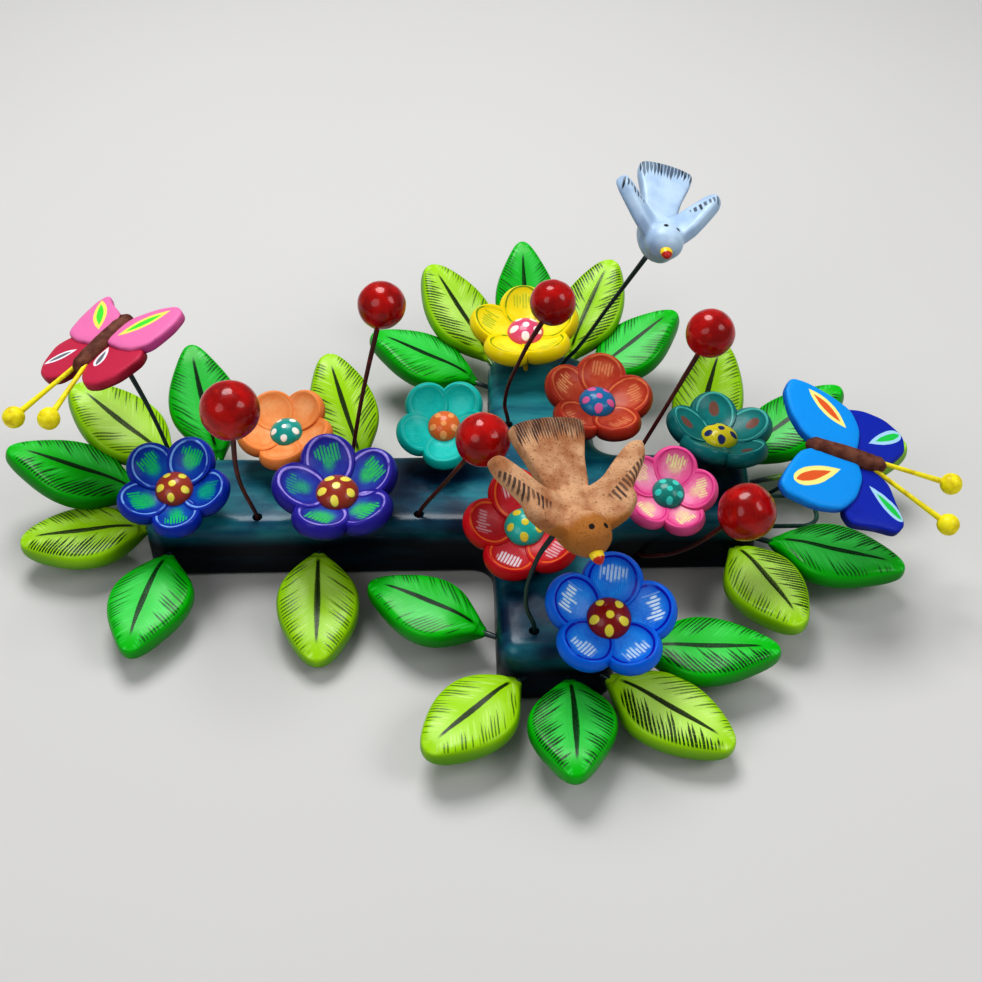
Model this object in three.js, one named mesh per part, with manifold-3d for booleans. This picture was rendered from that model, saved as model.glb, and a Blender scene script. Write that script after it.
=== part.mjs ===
// Clay tree of life: a painted clay cross that lies on its back, with clay leaves, flowers,
// berries, birds and butterflies on wires. Millimetres, +Z up, foot of the cross towards -X.
// The origin is on the flat back, under the middle of the crossing.
import * as THREE from 'three';
import { mergeVertices } from 'three/addons/utils/BufferGeometryUtils.js';
import Module from 'manifold-3d';

const wasm = await Module();
wasm.setup();

// ---- driving dimensions -------------------------------------------------------------------
const ARM_WIDTH = 42;          // every arm of the cross
const FOOT_ARM = 132;          // crossing's edge to the foot end
const HEAD_ARM = 60;           // crossing's edge to the head end
const SIDE_ARM = 63;           // crossing's edge to either side end
const THICK = 26;              // flat back to flat front
const EDGE_ROUND = 6;          // rounded front edges
const BACK_CUT = 4;            // the back is cut flat through the same rounding
const CORNER_ROUND = 8;        // outer corners in plan
const FILLET = 9;              // inner corners in plan
const HALF = ARM_WIDTH / 2;
const MID = THICK / 2;         // height of the leaf wires

const FIT = 0.5;               // room around a bedded wire
const BED = 8;                 // depth of a leaf's wire in the cross
const LEAF_WIRE = 1.0;         // radii of the wires
const STEM_WIRE = 0.8;
const LOOP_WIRE = 0.9;
const LEAF_THICK = 8;

const FLEX_ROOM = 0.6;         // extra room round a wire that flexes at its root
const ROOT_DEPTH = 6;          // depth of such a wire in the cross
const STRAIGHT = 2.5;          // straight stretch outside its hole

// ---- materials ----------------------------------------------------------------------------
const paint = (hex, roughness = 0.4) => new THREE.MeshStandardMaterial({ color: hex, roughness });
const PAINT = {
  body: paint(0x14525a, 0.25), green: paint(0x12a02e), lime: paint(0x9cc71e),
  navy: paint(0x12308f), orange: paint(0xe08040), violet: paint(0x3b2f8c), turquoise: paint(0x12a79f),
  yellow: paint(0xf0d814), terracotta: paint(0xb64a2c), red: paint(0xb81c22), pink: paint(0xe0508c),
  teal: paint(0x1c7f7c), blue: paint(0x1470d8), berry: paint(0xa01208, 0.3), white: paint(0xc4d4ea),
  tan: paint(0xb07a4e, 0.8), magenta: paint(0xd85a9a), azure: paint(0x0a84e0), antenna: paint(0xf2e21c),
  darkWire: paint(0x0c2f2c), redWire: paint(0x4a120c), loopWire: paint(0x0a3a34),
};

// ---- solids -------------------------------------------------------------------------------
function solid(geometry, matrix = new THREE.Matrix4()) {
  const bare = geometry.clone();
  bare.deleteAttribute('normal');
  bare.deleteAttribute('uv');
  const merged = mergeVertices(bare, 1e-4).applyMatrix4(matrix);
  const vertProperties = Float32Array.from(merged.attributes.position.array);
  const triVerts = Uint32Array.from(merged.index.array);
  return new wasm.Manifold(new wasm.Mesh({ numProp: 3, vertProperties, triVerts }));
}

function join(solids) {
  return solids.reduce((whole, piece) => whole.add(piece));
}

function node(name, shape, material) {
  const data = shape.getMesh();
  const geometry = new THREE.BufferGeometry();
  geometry.setAttribute('position', new THREE.BufferAttribute(Float32Array.from(data.vertProperties), 3));
  geometry.setIndex(new THREE.BufferAttribute(Uint32Array.from(data.triVerts), 1));
  geometry.computeVertexNormals();
  const mesh = new THREE.Mesh(geometry, material);
  mesh.name = name;
  return mesh;
}

const at = (x, y, z) => new THREE.Vector3(x, y, z);
const move = (x, y, z) => new THREE.Matrix4().makeTranslation(x, y, z);

// Local +X points along azimuth and elevation, local +Z stays on top, then roll about local X.
function aim(azimuth, elevation, roll = 0) {
  const turn = new THREE.Matrix4().makeRotationZ(THREE.MathUtils.degToRad(azimuth));
  turn.multiply(new THREE.Matrix4().makeRotationY(THREE.MathUtils.degToRad(-elevation)));
  return turn.multiply(new THREE.Matrix4().makeRotationX(THREE.MathUtils.degToRad(roll)));
}

function rod(from, to, radius, sides = 6) {
  const axis = to.clone().sub(from);
  const turn = new THREE.Quaternion().setFromUnitVectors(at(0, 1, 0), axis.clone().normalize());
  const middle = from.clone().add(to).multiplyScalar(0.5);
  const matrix = new THREE.Matrix4().compose(middle, turn, at(1, 1, 1));
  return solid(new THREE.CylinderGeometry(radius, radius, axis.length(), sides), matrix);
}

// Its poles are on local Z.
function ellipsoid(x, y, z, matrix, around = 10, down = 6) {
  const size = new THREE.Matrix4().makeScale(x, y, z).multiply(aim(0, 0, 90));
  return solid(new THREE.SphereGeometry(1, around, down), matrix.clone().multiply(size));
}

function tube(points, radius, sides, steps) {
  const ring = new THREE.Shape();
  ring.absarc(0, 0, radius, 0, 2 * Math.PI);
  const path = new THREE.CatmullRomCurve3(points, false, 'centripetal');
  const options = { extrudePath: path, steps, curveSegments: sides, bevelEnabled: false };
  return solid(new THREE.ExtrudeGeometry(ring, options));
}

// A plate of modelled clay with a rounded rim, centred on its own plane.
function plate(shape, thick, rim, matrix = new THREE.Matrix4(), curveSegments = 3) {
  const options = {
    depth: thick - 2 * rim, bevelThickness: rim, bevelSize: rim, bevelOffset: -rim,
    bevelSegments: 1, curveSegments,
  };
  const lift = move(0, 0, rim - thick / 2);
  return solid(new THREE.ExtrudeGeometry(shape, options), matrix.clone().multiply(lift));
}

// ---- the cross ----------------------------------------------------------------------------
function crossOutline() {
  const ends = [HALF + HEAD_ARM, HALF + SIDE_ARM, HALF + FOOT_ARM, HALF + SIDE_ARM];
  const outline = new THREE.Shape();
  const turned = (x, y, quarter) => {
    const c = [1, 0, -1, 0][quarter];
    const s = [0, 1, 0, -1][quarter];
    return [c * x - s * y, s * x + c * y];
  };
  const corner = (x, y, radius, start, sweep, quarter) => {
    const [cx, cy] = turned(x, y, quarter);
    const first = start + quarter * Math.PI / 2;
    outline.absarc(cx, cy, radius, first, first + sweep, sweep < 0);
  };
  const right = Math.PI / 2;
  ends.forEach((end, quarter) => {
    corner(end - CORNER_ROUND, CORNER_ROUND - HALF, CORNER_ROUND, -right, right, quarter);
    corner(end - CORNER_ROUND, HALF - CORNER_ROUND, CORNER_ROUND, 0, right, quarter);
    corner(HALF + FILLET, HALF + FILLET, FILLET, -right, -right, quarter);
  });
  return outline;
}

function crossBlank() {
  const options = {
    depth: THICK + BACK_CUT - 2 * EDGE_ROUND, bevelThickness: EDGE_ROUND, bevelSize: EDGE_ROUND,
    bevelOffset: -EDGE_ROUND, bevelSegments: 2, curveSegments: 3,
  };
  const blank = solid(new THREE.ExtrudeGeometry(crossOutline(), options), move(0, 0, EDGE_ROUND - BACK_CUT));
  const below = solid(new THREE.BoxGeometry(500, 500, THICK), move(0, 0, -MID));
  return blank.subtract(below);
}

// Each bedded wire gets a blind hole; they are collected while the pieces are made.
const holes = [];
function bore(mouth, bottom, radius) {
  const out = mouth.clone().sub(bottom).normalize();
  const past = mouth.clone().addScaledVector(out, 6);
  const floor = bottom.clone().addScaledVector(out, -FIT);
  holes.push(rod(floor, past, radius));
}

// ---- leaves -------------------------------------------------------------------------------
// at: where the wire leaves the edge of the cross. aim: azimuth, elevation and roll of the wire
// and blade. wire: visible wire. size: blade length and width.
const LEAVES = [
  { at: [-153, 8], aim: [172, 20, 0], wire: 10, size: [50, 30], colour: 'green' },
  { at: [-153, -8], aim: [-169, 0, 0], wire: 4, size: [45, 29], colour: 'lime' },
  { at: [-143, 21], aim: [146, 24, 0], wire: 11, size: [48, 30], colour: 'lime' },
  { at: [-144, -21], aim: [-97, -3, 0], wire: 4, size: [45, 30], colour: 'green' },
  { at: [-129, 21], aim: [103, 30, 0], wire: 10, size: [48, 28], colour: 'green' },
  { at: [-71, 21], aim: [114, 27, 0], wire: 8, size: [47, 27], colour: 'lime' },
  { at: [-87, -21], aim: [-92, -7, 0], wire: 4, size: [47, 30], colour: 'lime' },
  { at: [-21, -65], aim: [157, 3, 0], wire: 7, size: [45, 28], colour: 'green' },
  { at: [-12, -84], aim: [-138, 2, 0], wire: 5, size: [43, 29], colour: 'lime' },
  { at: [4, -84], aim: [-88, 2, 0], wire: 4, size: [41, 30], colour: 'green' },
  { at: [17, -84], aim: [-37, -5, 0], wire: 4, size: [47, 29], colour: 'lime' },
  { at: [21, -72], aim: [-4, 3, 0], wire: 11, size: [48, 28], colour: 'green' },
  { at: [-16, 84], aim: [125, 27, 0], wire: 11, size: [48, 28], colour: 'lime' },
  { at: [-2, 84], aim: [92, 34, 0], wire: 13, size: [48, 26], colour: 'green' },
  { at: [12, 84], aim: [64, 28, 0], wire: 10, size: [48, 27], colour: 'lime' },
  { at: [21, 76], aim: [32, 18, 0], wire: 6, size: [47, 28], colour: 'green' },
  { at: [-21, 76], aim: [163, 14, 0], wire: 8, size: [47, 29], colour: 'green' },
  { at: [59, 21], aim: [66, 30, 0], wire: 9, size: [48, 28], colour: 'lime' },
  { at: [75, 21], aim: [30, 24, 0], wire: 9, size: [48, 28], colour: 'green' },
  { at: [81, 14], aim: [4, 10, 0], wire: 20, size: [46, 27], colour: 'lime' },
  { at: [70, -21], aim: [-63, 2, 0], wire: 4, size: [44, 29], colour: 'lime' },
  { at: [81, -17], aim: [-22, 0, 0], wire: 8, size: [48, 29], colour: 'green' },
];

function leafOutline(length, width, start) {
  const half = width / 2;
  const outline = new THREE.Shape();
  outline.moveTo(start, 0);
  outline.bezierCurveTo(
    start + 0.08 * length, -0.62 * half, start + 0.24 * length, -half, start + 0.42 * length, -half);
  outline.bezierCurveTo(
    start + 0.68 * length, -half, start + length, -0.42 * half, start + length, 0);
  outline.bezierCurveTo(
    start + length, 0.42 * half, start + 0.68 * length, half, start + 0.42 * length, half);
  outline.bezierCurveTo(
    start + 0.24 * length, half, start + 0.08 * length, 0.62 * half, start, 0);
  return outline;
}

function leaf(spec, index) {
  const [length, width] = spec.size;
  const wire = rod(at(-BED, 0, 0), at(spec.wire + 4, 0, 0), LEAF_WIRE);
  const blade = plate(leafOutline(length, width, spec.wire), LEAF_THICK, 2.8);
  const place = move(spec.at[0], spec.at[1], MID).multiply(aim(...spec.aim));
  bore(at(0, 0, 0).applyMatrix4(place), at(-BED, 0, 0).applyMatrix4(place), LEAF_WIRE + FIT);
  const mesh = node(`leaf_${index + 1}`, wire.add(blade), PAINT[spec.colour]);
  mesh.applyMatrix4(place);
  return mesh;
}

// ---- flowers ------------------------------------------------------------------------------
// root: where the wire enters the front. heart: middle of the flower's base. lean: azimuth and
// angle that its face leans by. turn: azimuth of the first petal. size: across the petals.
const FLOWERS = [
  { name: 'navy', root: [-140, -6], heart: [-140, -10, 33], lean: [-90, 18], turn: 62, size: 42 },
  { name: 'orange', root: [-104, 14], heart: [-100, 20, 34], lean: [-120, 14], turn: 50, size: 38 },
  { name: 'violet', root: [-78, -10], heart: [-79, -15, 33], lean: [-90, 10], turn: 31, size: 48 },
  { name: 'turquoise', root: [-36, 12], heart: [-39, 23, 35], lean: [-95, 30], turn: 55, size: 38 },
  { name: 'yellow', root: [-5, 72], heart: [-5, 80, 34], lean: [-90, 6], turn: 90, size: 46 },
  { name: 'terracotta', root: [14, 36], heart: [21, 35, 34], lean: [-60, 14], turn: 12, size: 44 },
  { name: 'red', root: [-10, -28], heart: [-10, -32, 33], lean: [-90, 22], turn: 31, size: 44 },
  { name: 'pink', root: [43, -12], heart: [44, -16, 34], lean: [-80, 20], turn: 5, size: 37 },
  { name: 'teal', root: [66, 9], heart: [67, 12, 34], lean: [50, 6], turn: 20, size: 43 },
  { name: 'blue', root: [14, -72], heart: [17, -77, 33], lean: [-90, 22], turn: 12, size: 46 },
];
const PETALS = 5;
const PETAL_CUP = 26;          // how steeply the petals rise from the heart

function flower(spec) {
  const radius = spec.size / 2;
  const face = aim(spec.lean[0], -spec.lean[1]).multiply(aim(-spec.lean[0], 0));
  const pieces = [ellipsoid(0.36 * radius, 0.36 * radius, 0.34 * radius, face.clone().multiply(move(0, 0, 2)), 8, 3)];
  for (let i = 0; i < PETALS; i += 1) {
    const petal = face.clone().multiply(aim(spec.turn + i * 360 / PETALS, PETAL_CUP));
    petal.multiply(move(0.66 * radius, 0, 0));
    pieces.push(ellipsoid(0.46 * radius, 0.46 * radius, 3.2, petal, 8, 3));
  }
  const heart = at(...spec.heart);
  const root = at(spec.root[0], spec.root[1], THICK);
  const out = heart.clone().sub(root).normalize();
  const bottom = root.clone().addScaledVector(out, -ROOT_DEPTH);
  bore(root, bottom, LEAF_WIRE + FIT);
  pieces.push(rod(bottom.clone().sub(heart), at(0, 0, 0), LEAF_WIRE));
  const mesh = node(`flower_${spec.name}`, join(pieces), PAINT[spec.name]);
  mesh.position.copy(heart);
  return mesh;
}

// ---- flexing wires ------------------------------------------------------------------------
// A route's first two points are the wire's root in the cross and where it leaves the surface;
// it runs on straight for a little before it bends.
function flexWire(name, route, material) {
  const points = route.map((p) => at(...p));
  const [root, mouth] = points;
  bore(mouth, root, STEM_WIRE + FIT + FLEX_ROOM);
  const out = mouth.clone().sub(root).normalize();
  points.splice(2, 0, mouth.clone().addScaledVector(out, STRAIGHT));
  return node(name, tube(points, STEM_WIRE, 3, 3 * (points.length - 1)), material);
}

// The last stretch of a wire, as the socket that it needs in the piece on its end.
function socket(route) {
  const [before, end] = route.slice(-2).map((p) => at(...p));
  const out = end.clone().sub(before).normalize();
  return rod(before, end.clone().addScaledVector(out, FIT), STEM_WIRE + FIT, 8);
}

// ---- berries ------------------------------------------------------------------------------
const BERRIES = [
  { centre: [-62, 38, 85], size: 18.5, route: [[-77, 11, 20], [-76, 13, 26], [-71, 24, 50], [-63, 36.5, 80]] },
  { centre: [-113, -21, 84], size: 21.5, route: [[-109, -14.5, 20], [-110, -15, 26], [-114, -19, 50], [-113, -21, 77]] },
  { centre: [3, 44, 81], size: 18, route: [[-13, 36, 20], [-13.5, 36.5, 26], [-15, 38, 36], [-9, 41, 56], [1, 43.5, 76]] },
  { centre: [-25, -22, 70], size: 20, route: [[-51, -14, 20], [-49, -14.5, 26], [-37, -18, 48], [-27.5, -21.5, 66]] },
  { centre: [60, 20, 84], size: 18.5, route: [[33, 13, 20], [35, 13.5, 26], [46, 16, 52], [58, 19.5, 79]] },
  { centre: [70, -36, 46], size: 21.5, route: [[31, -15, 5], [35.5, -21, 9], [47, -27, 19], [66, -34.5, 40.5]] },
];

function berry(spec, index) {
  const ball = ellipsoid(spec.size / 2, spec.size / 2, spec.size / 2, move(...spec.centre), 14, 9);
  return [
    flexWire(`berry_wire_${index + 1}`, spec.route, PAINT.redWire),
    node(`berry_${index + 1}`, ball.subtract(socket(spec.route)), PAINT.berry),
  ];
}

// ---- birds --------------------------------------------------------------------------------
// Local +X is the way the bird flies. size: scale of the whole bird. tail: how wide its fan is
// against the tan bird's. wing: outline of the left wing, and raise: how steeply it is held up.
const BIRDS = [
  {
    name: 'tan', centre: [3, -58, 73], aim: [-72, -16, -12], size: 1, tail: 1, raise: 24,
    wing: [[12, 3], [14, 9], [11, 17], [7, 22], [3, 22], [-2, 25], [-7, 30], [-12, 31], [-13, 27], [-9, 20], [-4, 13], [-2, 4]],
    route: [[-8, -73, 20], [-8, -73.5, 26], [-11, -72, 38], [-8, -68, 55], [-1, -65, 67.5]],
  },
  {
    name: 'white', centre: [46, 80, 90], aim: [-90, 0, -14], size: 0.9, tail: 0.85, raise: 40,
    wing: [[13, 3], [15, 8], [12, 15], [6, 21], [1, 26], [-3, 27], [-5, 24], [-3, 16], [-1, 9], [-1, 3]],
    route: [[9, 71, 20], [10, 71.5, 26], [16, 72, 36], [27, 70, 58], [42, 69, 86]],
  },
];

function fan(points) {
  const outline = new THREE.Shape();
  outline.moveTo(...points[0]);
  points.slice(1).forEach((p) => outline.lineTo(...p));
  outline.closePath();
  return outline;
}

function birdShape(spec) {
  const tail = fan([
    [-2, -8], [-2, 8], [-14, 10], [-26, 14.5], [-30, 10], [-30, -10], [-26, -14.5], [-14, -10]]);
  const narrowed = new THREE.Matrix4().makeScale(1, spec.tail, 1);
  const pieces = [
    ellipsoid(15, 8.5, 7.5, move(5, 0, -1)),
    ellipsoid(8, 7.5, 7.2, move(14.5, 0, 4)),
    ellipsoid(5, 2.4, 2.2, move(21.5, 0, 4), 6, 4),
    plate(tail, 5.5, 1.6).transform(narrowed.elements)
      .transform(aim(0, -8).multiply(move(0, 0, 1)).elements),
  ];
  for (const side of [1, -1]) {
    const raise = aim(0, 0, side * spec.raise);
    const blade = plate(fan(spec.wing), 5, 1.5);
    const flipped = side > 0 ? blade : blade.mirror([0, 1, 0]);
    pieces.push(flipped.transform(raise.elements));
  }
  return join(pieces);
}

function bird(spec) {
  const place = move(...spec.centre).multiply(aim(...spec.aim));
  place.multiply(new THREE.Matrix4().makeScale(spec.size, spec.size, spec.size));
  const shape = birdShape(spec).transform(place.elements);
  return [
    flexWire(`bird_wire_${spec.name}`, spec.route, PAINT.darkWire),
    node(`bird_${spec.name}`, shape.subtract(socket(spec.route)), PAINT[spec.name]),
  ];
}

// ---- butterflies --------------------------------------------------------------------------
// Local +X points to the head. antennae: where the two balls are, in the butterfly's plane.
const BUTTERFLIES = [
  {
    name: 'magenta', centre: [-165, 26, 76], aim: [-124, -9, 18], antennae: [[42, -9], [39, 9]],
    route: [[-141, 4, 20], [-142, 6, 26], [-149, 15, 48], [-160, 23.5, 74]],
  },
  {
    name: 'azure', centre: [106.5, -19.5, 57], aim: [-7, -17, 15], antennae: [[42, -15], [43, 3]],
    route: [[75, 1, 16], [81, 0, 18], [93, -7, 34], [104, -18, 55]],
  },
];
const WING_THICK = 4.5;
const ANTENNA_BALL = 4.1;
const HEAD_X = 13;

function butterflyShape() {
  const rear = fan([[-15, 1], [-23, 11], [-25, 20], [-23, 25], [-9, 25], [0, 20], [4, 12], [3, 1]]);
  const front = fan([[1, 1], [2, 18], [5, 25], [14, 25], [21, 21], [21, 14], [15, 2]]);
  const pieces = [
    ellipsoid(17, 3.4, 3.4, move(0, 0, 1.5)),
  ];
  for (const side of [1, -1]) {
    for (const [outline, lift] of [[rear, 0.8], [front, -0.8]]) {
      const wing = plate(outline, WING_THICK, 1.4, move(0, 0, lift));
      pieces.push(side > 0 ? wing : wing.mirror([0, 1, 0]));
    }
  }
  return join(pieces);
}

function antenna(spec, place, ball, side) {
  const root = at(HEAD_X - 3, side * 1.6, 1.5).applyMatrix4(place);
  const end = at(ball[0], ball[1], 0).applyMatrix4(place);
  const wire = rod(root, end, 0.9);
  const bead = ellipsoid(ANTENNA_BALL, ANTENNA_BALL, ANTENNA_BALL, move(end.x, end.y, end.z), 10, 6);
  const label = side > 0 ? 'left' : 'right';
  return {
    mesh: node(`antenna_${spec.name}_${label}`, wire.add(bead), PAINT.antenna),
    socket: rod(root.clone().addScaledVector(end.clone().sub(root).normalize(), -FIT), end, 0.9 + FIT, 8),
  };
}

function butterfly(spec) {
  const place = move(...spec.centre).multiply(aim(...spec.aim));
  const [right, left] = spec.antennae;
  const feelers = [antenna(spec, place, right, -1), antenna(spec, place, left, 1)];
  const drilled = feelers.reduce(
    (shape, feeler) => shape.subtract(feeler.socket), butterflyShape().transform(place.elements));
  return [
    flexWire(`butterfly_wire_${spec.name}`, spec.route, PAINT.darkWire),
    node(`butterfly_${spec.name}`, drilled.subtract(socket(spec.route)), PAINT[spec.name]),
    ...feelers.map((feeler) => feeler.mesh),
  ];
}

// ---- hanging loop -------------------------------------------------------------------------
const LOOP_HEIGHT = 11;
const LOOP_SIDES = [-8.5, 8.5];
const LOOP_OUT = 27;           // how far it stands out of the head end

function hangingLoop() {
  const end = HALF + HEAD_ARM;
  const [near, far] = LOOP_SIDES;
  const path = new THREE.CurvePath();
  const reach = end + LOOP_OUT - LOOP_WIRE;
  const bend = 7;
  const p = (x, y) => at(x, y, LOOP_HEIGHT);
  path.add(new THREE.LineCurve3(p(end - BED, near), p(reach - bend, near)));
  path.add(new THREE.CubicBezierCurve3(p(reach - bend, near), p(reach - 2, near), p(reach, near + 3), p(reach, near + bend)));
  path.add(new THREE.LineCurve3(p(reach, near + bend), p(reach, far - bend)));
  path.add(new THREE.CubicBezierCurve3(p(reach, far - bend), p(reach, far - 3), p(reach - 2, far), p(reach - bend, far)));
  path.add(new THREE.LineCurve3(p(reach - bend, far), p(end - BED, far)));
  const ring = new THREE.Shape();
  ring.absarc(0, 0, LOOP_WIRE, 0, 2 * Math.PI);
  const shape = new THREE.ExtrudeGeometry(ring, {
    extrudePath: path, steps: 32, curveSegments: 3, bevelEnabled: false,
  });
  for (const side of LOOP_SIDES) {
    bore(p(end, side), p(end - BED, side), LOOP_WIRE + FIT);
  }
  return node('hanging_loop', solid(shape), PAINT.loopWire);
}

// ---- the whole ----------------------------------------------------------------------------
const tree = new THREE.Group();
LEAVES.forEach((spec, index) => tree.add(leaf(spec, index)));
FLOWERS.forEach((spec) => tree.add(flower(spec)));
BERRIES.forEach((spec, index) => tree.add(...berry(spec, index)));
BIRDS.forEach((spec) => tree.add(...bird(spec)));
BUTTERFLIES.forEach((spec) => tree.add(...butterfly(spec)));
tree.add(hangingLoop());
tree.add(node('cross_body', holes.reduce((shape, hole) => shape.subtract(hole), crossBlank()), PAINT.body));

export default tree;
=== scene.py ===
import math

import bpy
import numpy as np
from mathutils import Matrix, Vector


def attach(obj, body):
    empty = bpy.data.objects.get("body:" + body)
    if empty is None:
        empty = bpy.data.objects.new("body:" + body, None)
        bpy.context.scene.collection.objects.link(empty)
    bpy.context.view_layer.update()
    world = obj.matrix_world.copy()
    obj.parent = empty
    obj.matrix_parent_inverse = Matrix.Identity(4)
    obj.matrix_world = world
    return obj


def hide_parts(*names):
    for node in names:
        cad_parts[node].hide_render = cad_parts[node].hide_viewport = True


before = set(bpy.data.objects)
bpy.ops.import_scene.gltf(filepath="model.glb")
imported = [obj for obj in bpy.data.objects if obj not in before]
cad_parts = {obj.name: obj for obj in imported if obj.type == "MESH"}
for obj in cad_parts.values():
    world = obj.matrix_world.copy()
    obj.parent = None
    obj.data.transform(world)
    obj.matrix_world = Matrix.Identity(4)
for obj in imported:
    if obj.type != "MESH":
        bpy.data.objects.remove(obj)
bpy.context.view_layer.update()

bpy.ops.object.select_all(action="DESELECT")

# ---- the cross ---------------------------------------------------------------------------------
# The cross is a solid slab of fired clay that lies on its flat back, with its front edges rounded
# by hand. It is painted deep teal, clouded with navy, and lacquered. Its flanks are nearly black,
# partly from dark paint and partly as painted shade.
# Each swaying wire stands in its own hole in it; ROUTES are their middle lines, root first, in MM.
MM = 0.001
ARM_WIDTH = 42 * MM
THICK = 26 * MM
ARMS = [((-1, 0, 0), 132), ((1, 0, 0), 60), ((0, 1, 0), 63), ((0, -1, 0), 63)]
CORNER_ROUND = 8 * MM
FILLET = 9 * MM
FRONT_ROUND = 6 * MM
BACK_ROUND = 1.2 * MM
ROUND_STEPS = 6
CROSS_VOXEL = 1.5 * MM
HAND_UNEVEN = 0.9 * MM
SHARP = math.radians(50)
HOLE = 1.9 * MM
HOLE_LONG = 12 * MM
HOLE_MIDDLE = 5.5 * MM
ROUTES = {
    "berry_1": [(-77, 11, 20), (-76, 13, 26), (-71, 24, 50), (-63, 36.5, 80)],
    "berry_2": [(-109, -14.5, 20), (-110, -15, 26), (-114, -19, 50), (-113, -21, 77)],
    "berry_3": [(-13, 36, 20), (-13.5, 36.5, 26), (-15, 38, 36), (-9, 41, 56), (1, 43.5, 76)],
    "berry_4": [(-51, -14, 20), (-49, -14.5, 26), (-37, -18, 48), (-27.5, -21.5, 66)],
    "berry_5": [(33, 13, 20), (35, 13.5, 26), (46, 16, 52), (58, 19.5, 79)],
    "berry_6": [(31, -15, 5), (35.5, -21, 9), (48.2, -28.4, 17.8), (66, -34.5, 40.5)],
    "bird_tan": [(-8, -73, 20), (-8, -73.5, 26), (-11, -72, 38), (-8, -68, 55), (-1, -65, 67.5)],
    "bird_white": [(9, 71, 20), (10, 71.5, 26), (16, 72, 36), (27, 70, 58), (42, 69, 86)],
    "butterfly_magenta": [(-141, 4, 20), (-142, 6, 26), (-149, 15, 48), (-160, 23.5, 74)],
    "butterfly_azure": [(75, 1, 16), (81, 0, 18), (93, -7, 34), (104, -18, 55)],
}


def hue(code, strength=1.0):
    """A paint's colour from its usual six-figure code, as the shader wants it."""
    parts = [int(code[i:i + 2], 16) / 255 for i in (1, 3, 5)]
    linear = [p / 12.92 if p <= 0.04045 else ((p + 0.055) / 1.055) ** 2.4 for p in parts]
    return (*[p * strength for p in linear], 1.0)


def maths(operation, reflected=False):
    """A Math node as a method of a mark, which comes last when the sign's left side is a number."""
    def method(self, *others):
        return self.work(operation, *((*others, self) if reflected else (self, *others)))
    return method


class Mark:
    """A number that changes over a painted surface. Sums on it become Math nodes."""

    def __init__(self, paint, socket):
        self.paint = paint
        self.socket = socket

    def work(self, operation, *values):
        node = self.paint.make("Math", {"operation": operation}, dict(enumerate(values)))
        return Mark(self.paint, node.outputs[0])

    __add__ = maths("ADD")
    __radd__ = maths("ADD", reflected=True)
    __sub__ = maths("SUBTRACT")
    __rsub__ = maths("SUBTRACT", reflected=True)
    __mul__ = maths("MULTIPLY")
    __rmul__ = maths("MULTIPLY", reflected=True)
    __truediv__ = maths("DIVIDE")
    __pow__ = maths("POWER")
    __abs__ = maths("ABSOLUTE")
    whole = maths("FLOOR")
    most = maths("MAXIMUM")
    least = maths("MINIMUM")

    def far(self, other):
        """The straight distance these two make when they stand square to each other."""
        return (self * self + other * other) ** 0.5

    def spread(self, low, high):
        """Noise keeps near its middle; this spreads it over a range."""
        return self.fade(0.3, 0.7, low, high)

    def fade(self, start, end, low=0.0, high=1.0):
        """low up to start, high past end, and a soft step between them; start may be the larger."""
        if start > end:
            return self.fade(end, start, high, low)
        inputs = {"Value": self, "From Min": start, "From Max": end, "To Min": low, "To Max": high}
        node = self.paint.make("MapRange", {"interpolation_type": "SMOOTHSTEP"}, inputs)
        return Mark(self.paint, node.outputs[0])


class Paint:
    """A painted finish. Its shader's steady values are set here, and its marks are worked out on it."""

    def __init__(self, name, **steady):
        self.material = bpy.data.materials.new(name)
        self.material.use_nodes = True
        self.shader = self.material.node_tree.nodes["Principled BSDF"]
        for socket, value in steady.items():
            self.shader.inputs[socket.replace("_", " ")].default_value = value
        self.place = Mark(self, self.make("TexCoord").outputs["Object"])
        self.up = Mark(self, self.make("SeparateXYZ", {}, {0: self.place}).outputs[2])

    def make(self, kind, settings=None, inputs=None):
        node = self.material.node_tree.nodes.new("ShaderNode" + kind)
        for setting, value in (settings or {}).items():
            setattr(node, setting, value)
        for name, value in (inputs or {}).items():
            self.feed(self.socket(node, name), value)
        return node

    def socket(self, node, name):
        if isinstance(name, int):
            return node.inputs[name]
        named = [s for s in node.inputs if s.identifier == name]
        return named[0] if named else node.inputs[name]

    def feed(self, socket, value):
        if isinstance(value, Mark):
            self.material.node_tree.links.new(value.socket, socket)
        else:
            socket.default_value = hue(value) if isinstance(value, str) else value

    def noise(self, scale, detail=2.0, at=None, stretch=None):
        """Cloudy noise from 0 to 1 about 0.5. stretch squeezes it along each axis."""
        at = at or self.place
        if stretch:
            squeezed = self.make("VectorMath", {"operation": "MULTIPLY"}, {0: at, 1: stretch})
            at = Mark(self, squeezed.outputs[0])
        node = self.make("TexNoise", {}, {"Vector": at, "Scale": scale, "Detail": detail})
        return Mark(self, node.outputs[0])

    def chance(self, number):
        """A number from 0 to 1 that is drawn afresh for each whole number."""
        node = self.make("TexWhiteNoise", {"noise_dimensions": "1D"}, {"W": number})
        return Mark(self, node.outputs[0])

    def mix(self, under, over, share):
        inputs = {"Factor_Float": share, "A_Color": under, "B_Color": over}
        node = self.make("Mix", {"data_type": "RGBA"}, inputs)
        return Mark(self, node.outputs[2])

    def bump(self, height, depth, strength=1.0):
        node = self.make("Bump", {}, {"Height": height, "Distance": depth, "Strength": strength})
        self.feed(self.shader.inputs["Normal"], Mark(self, node.outputs[0]))

    def lay(self, **sockets):
        for name, value in sockets.items():
            self.feed(self.shader.inputs[name.replace("_", " ")], value)


def work_in(mode):
    bpy.ops.object.mode_set(mode=mode)


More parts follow.
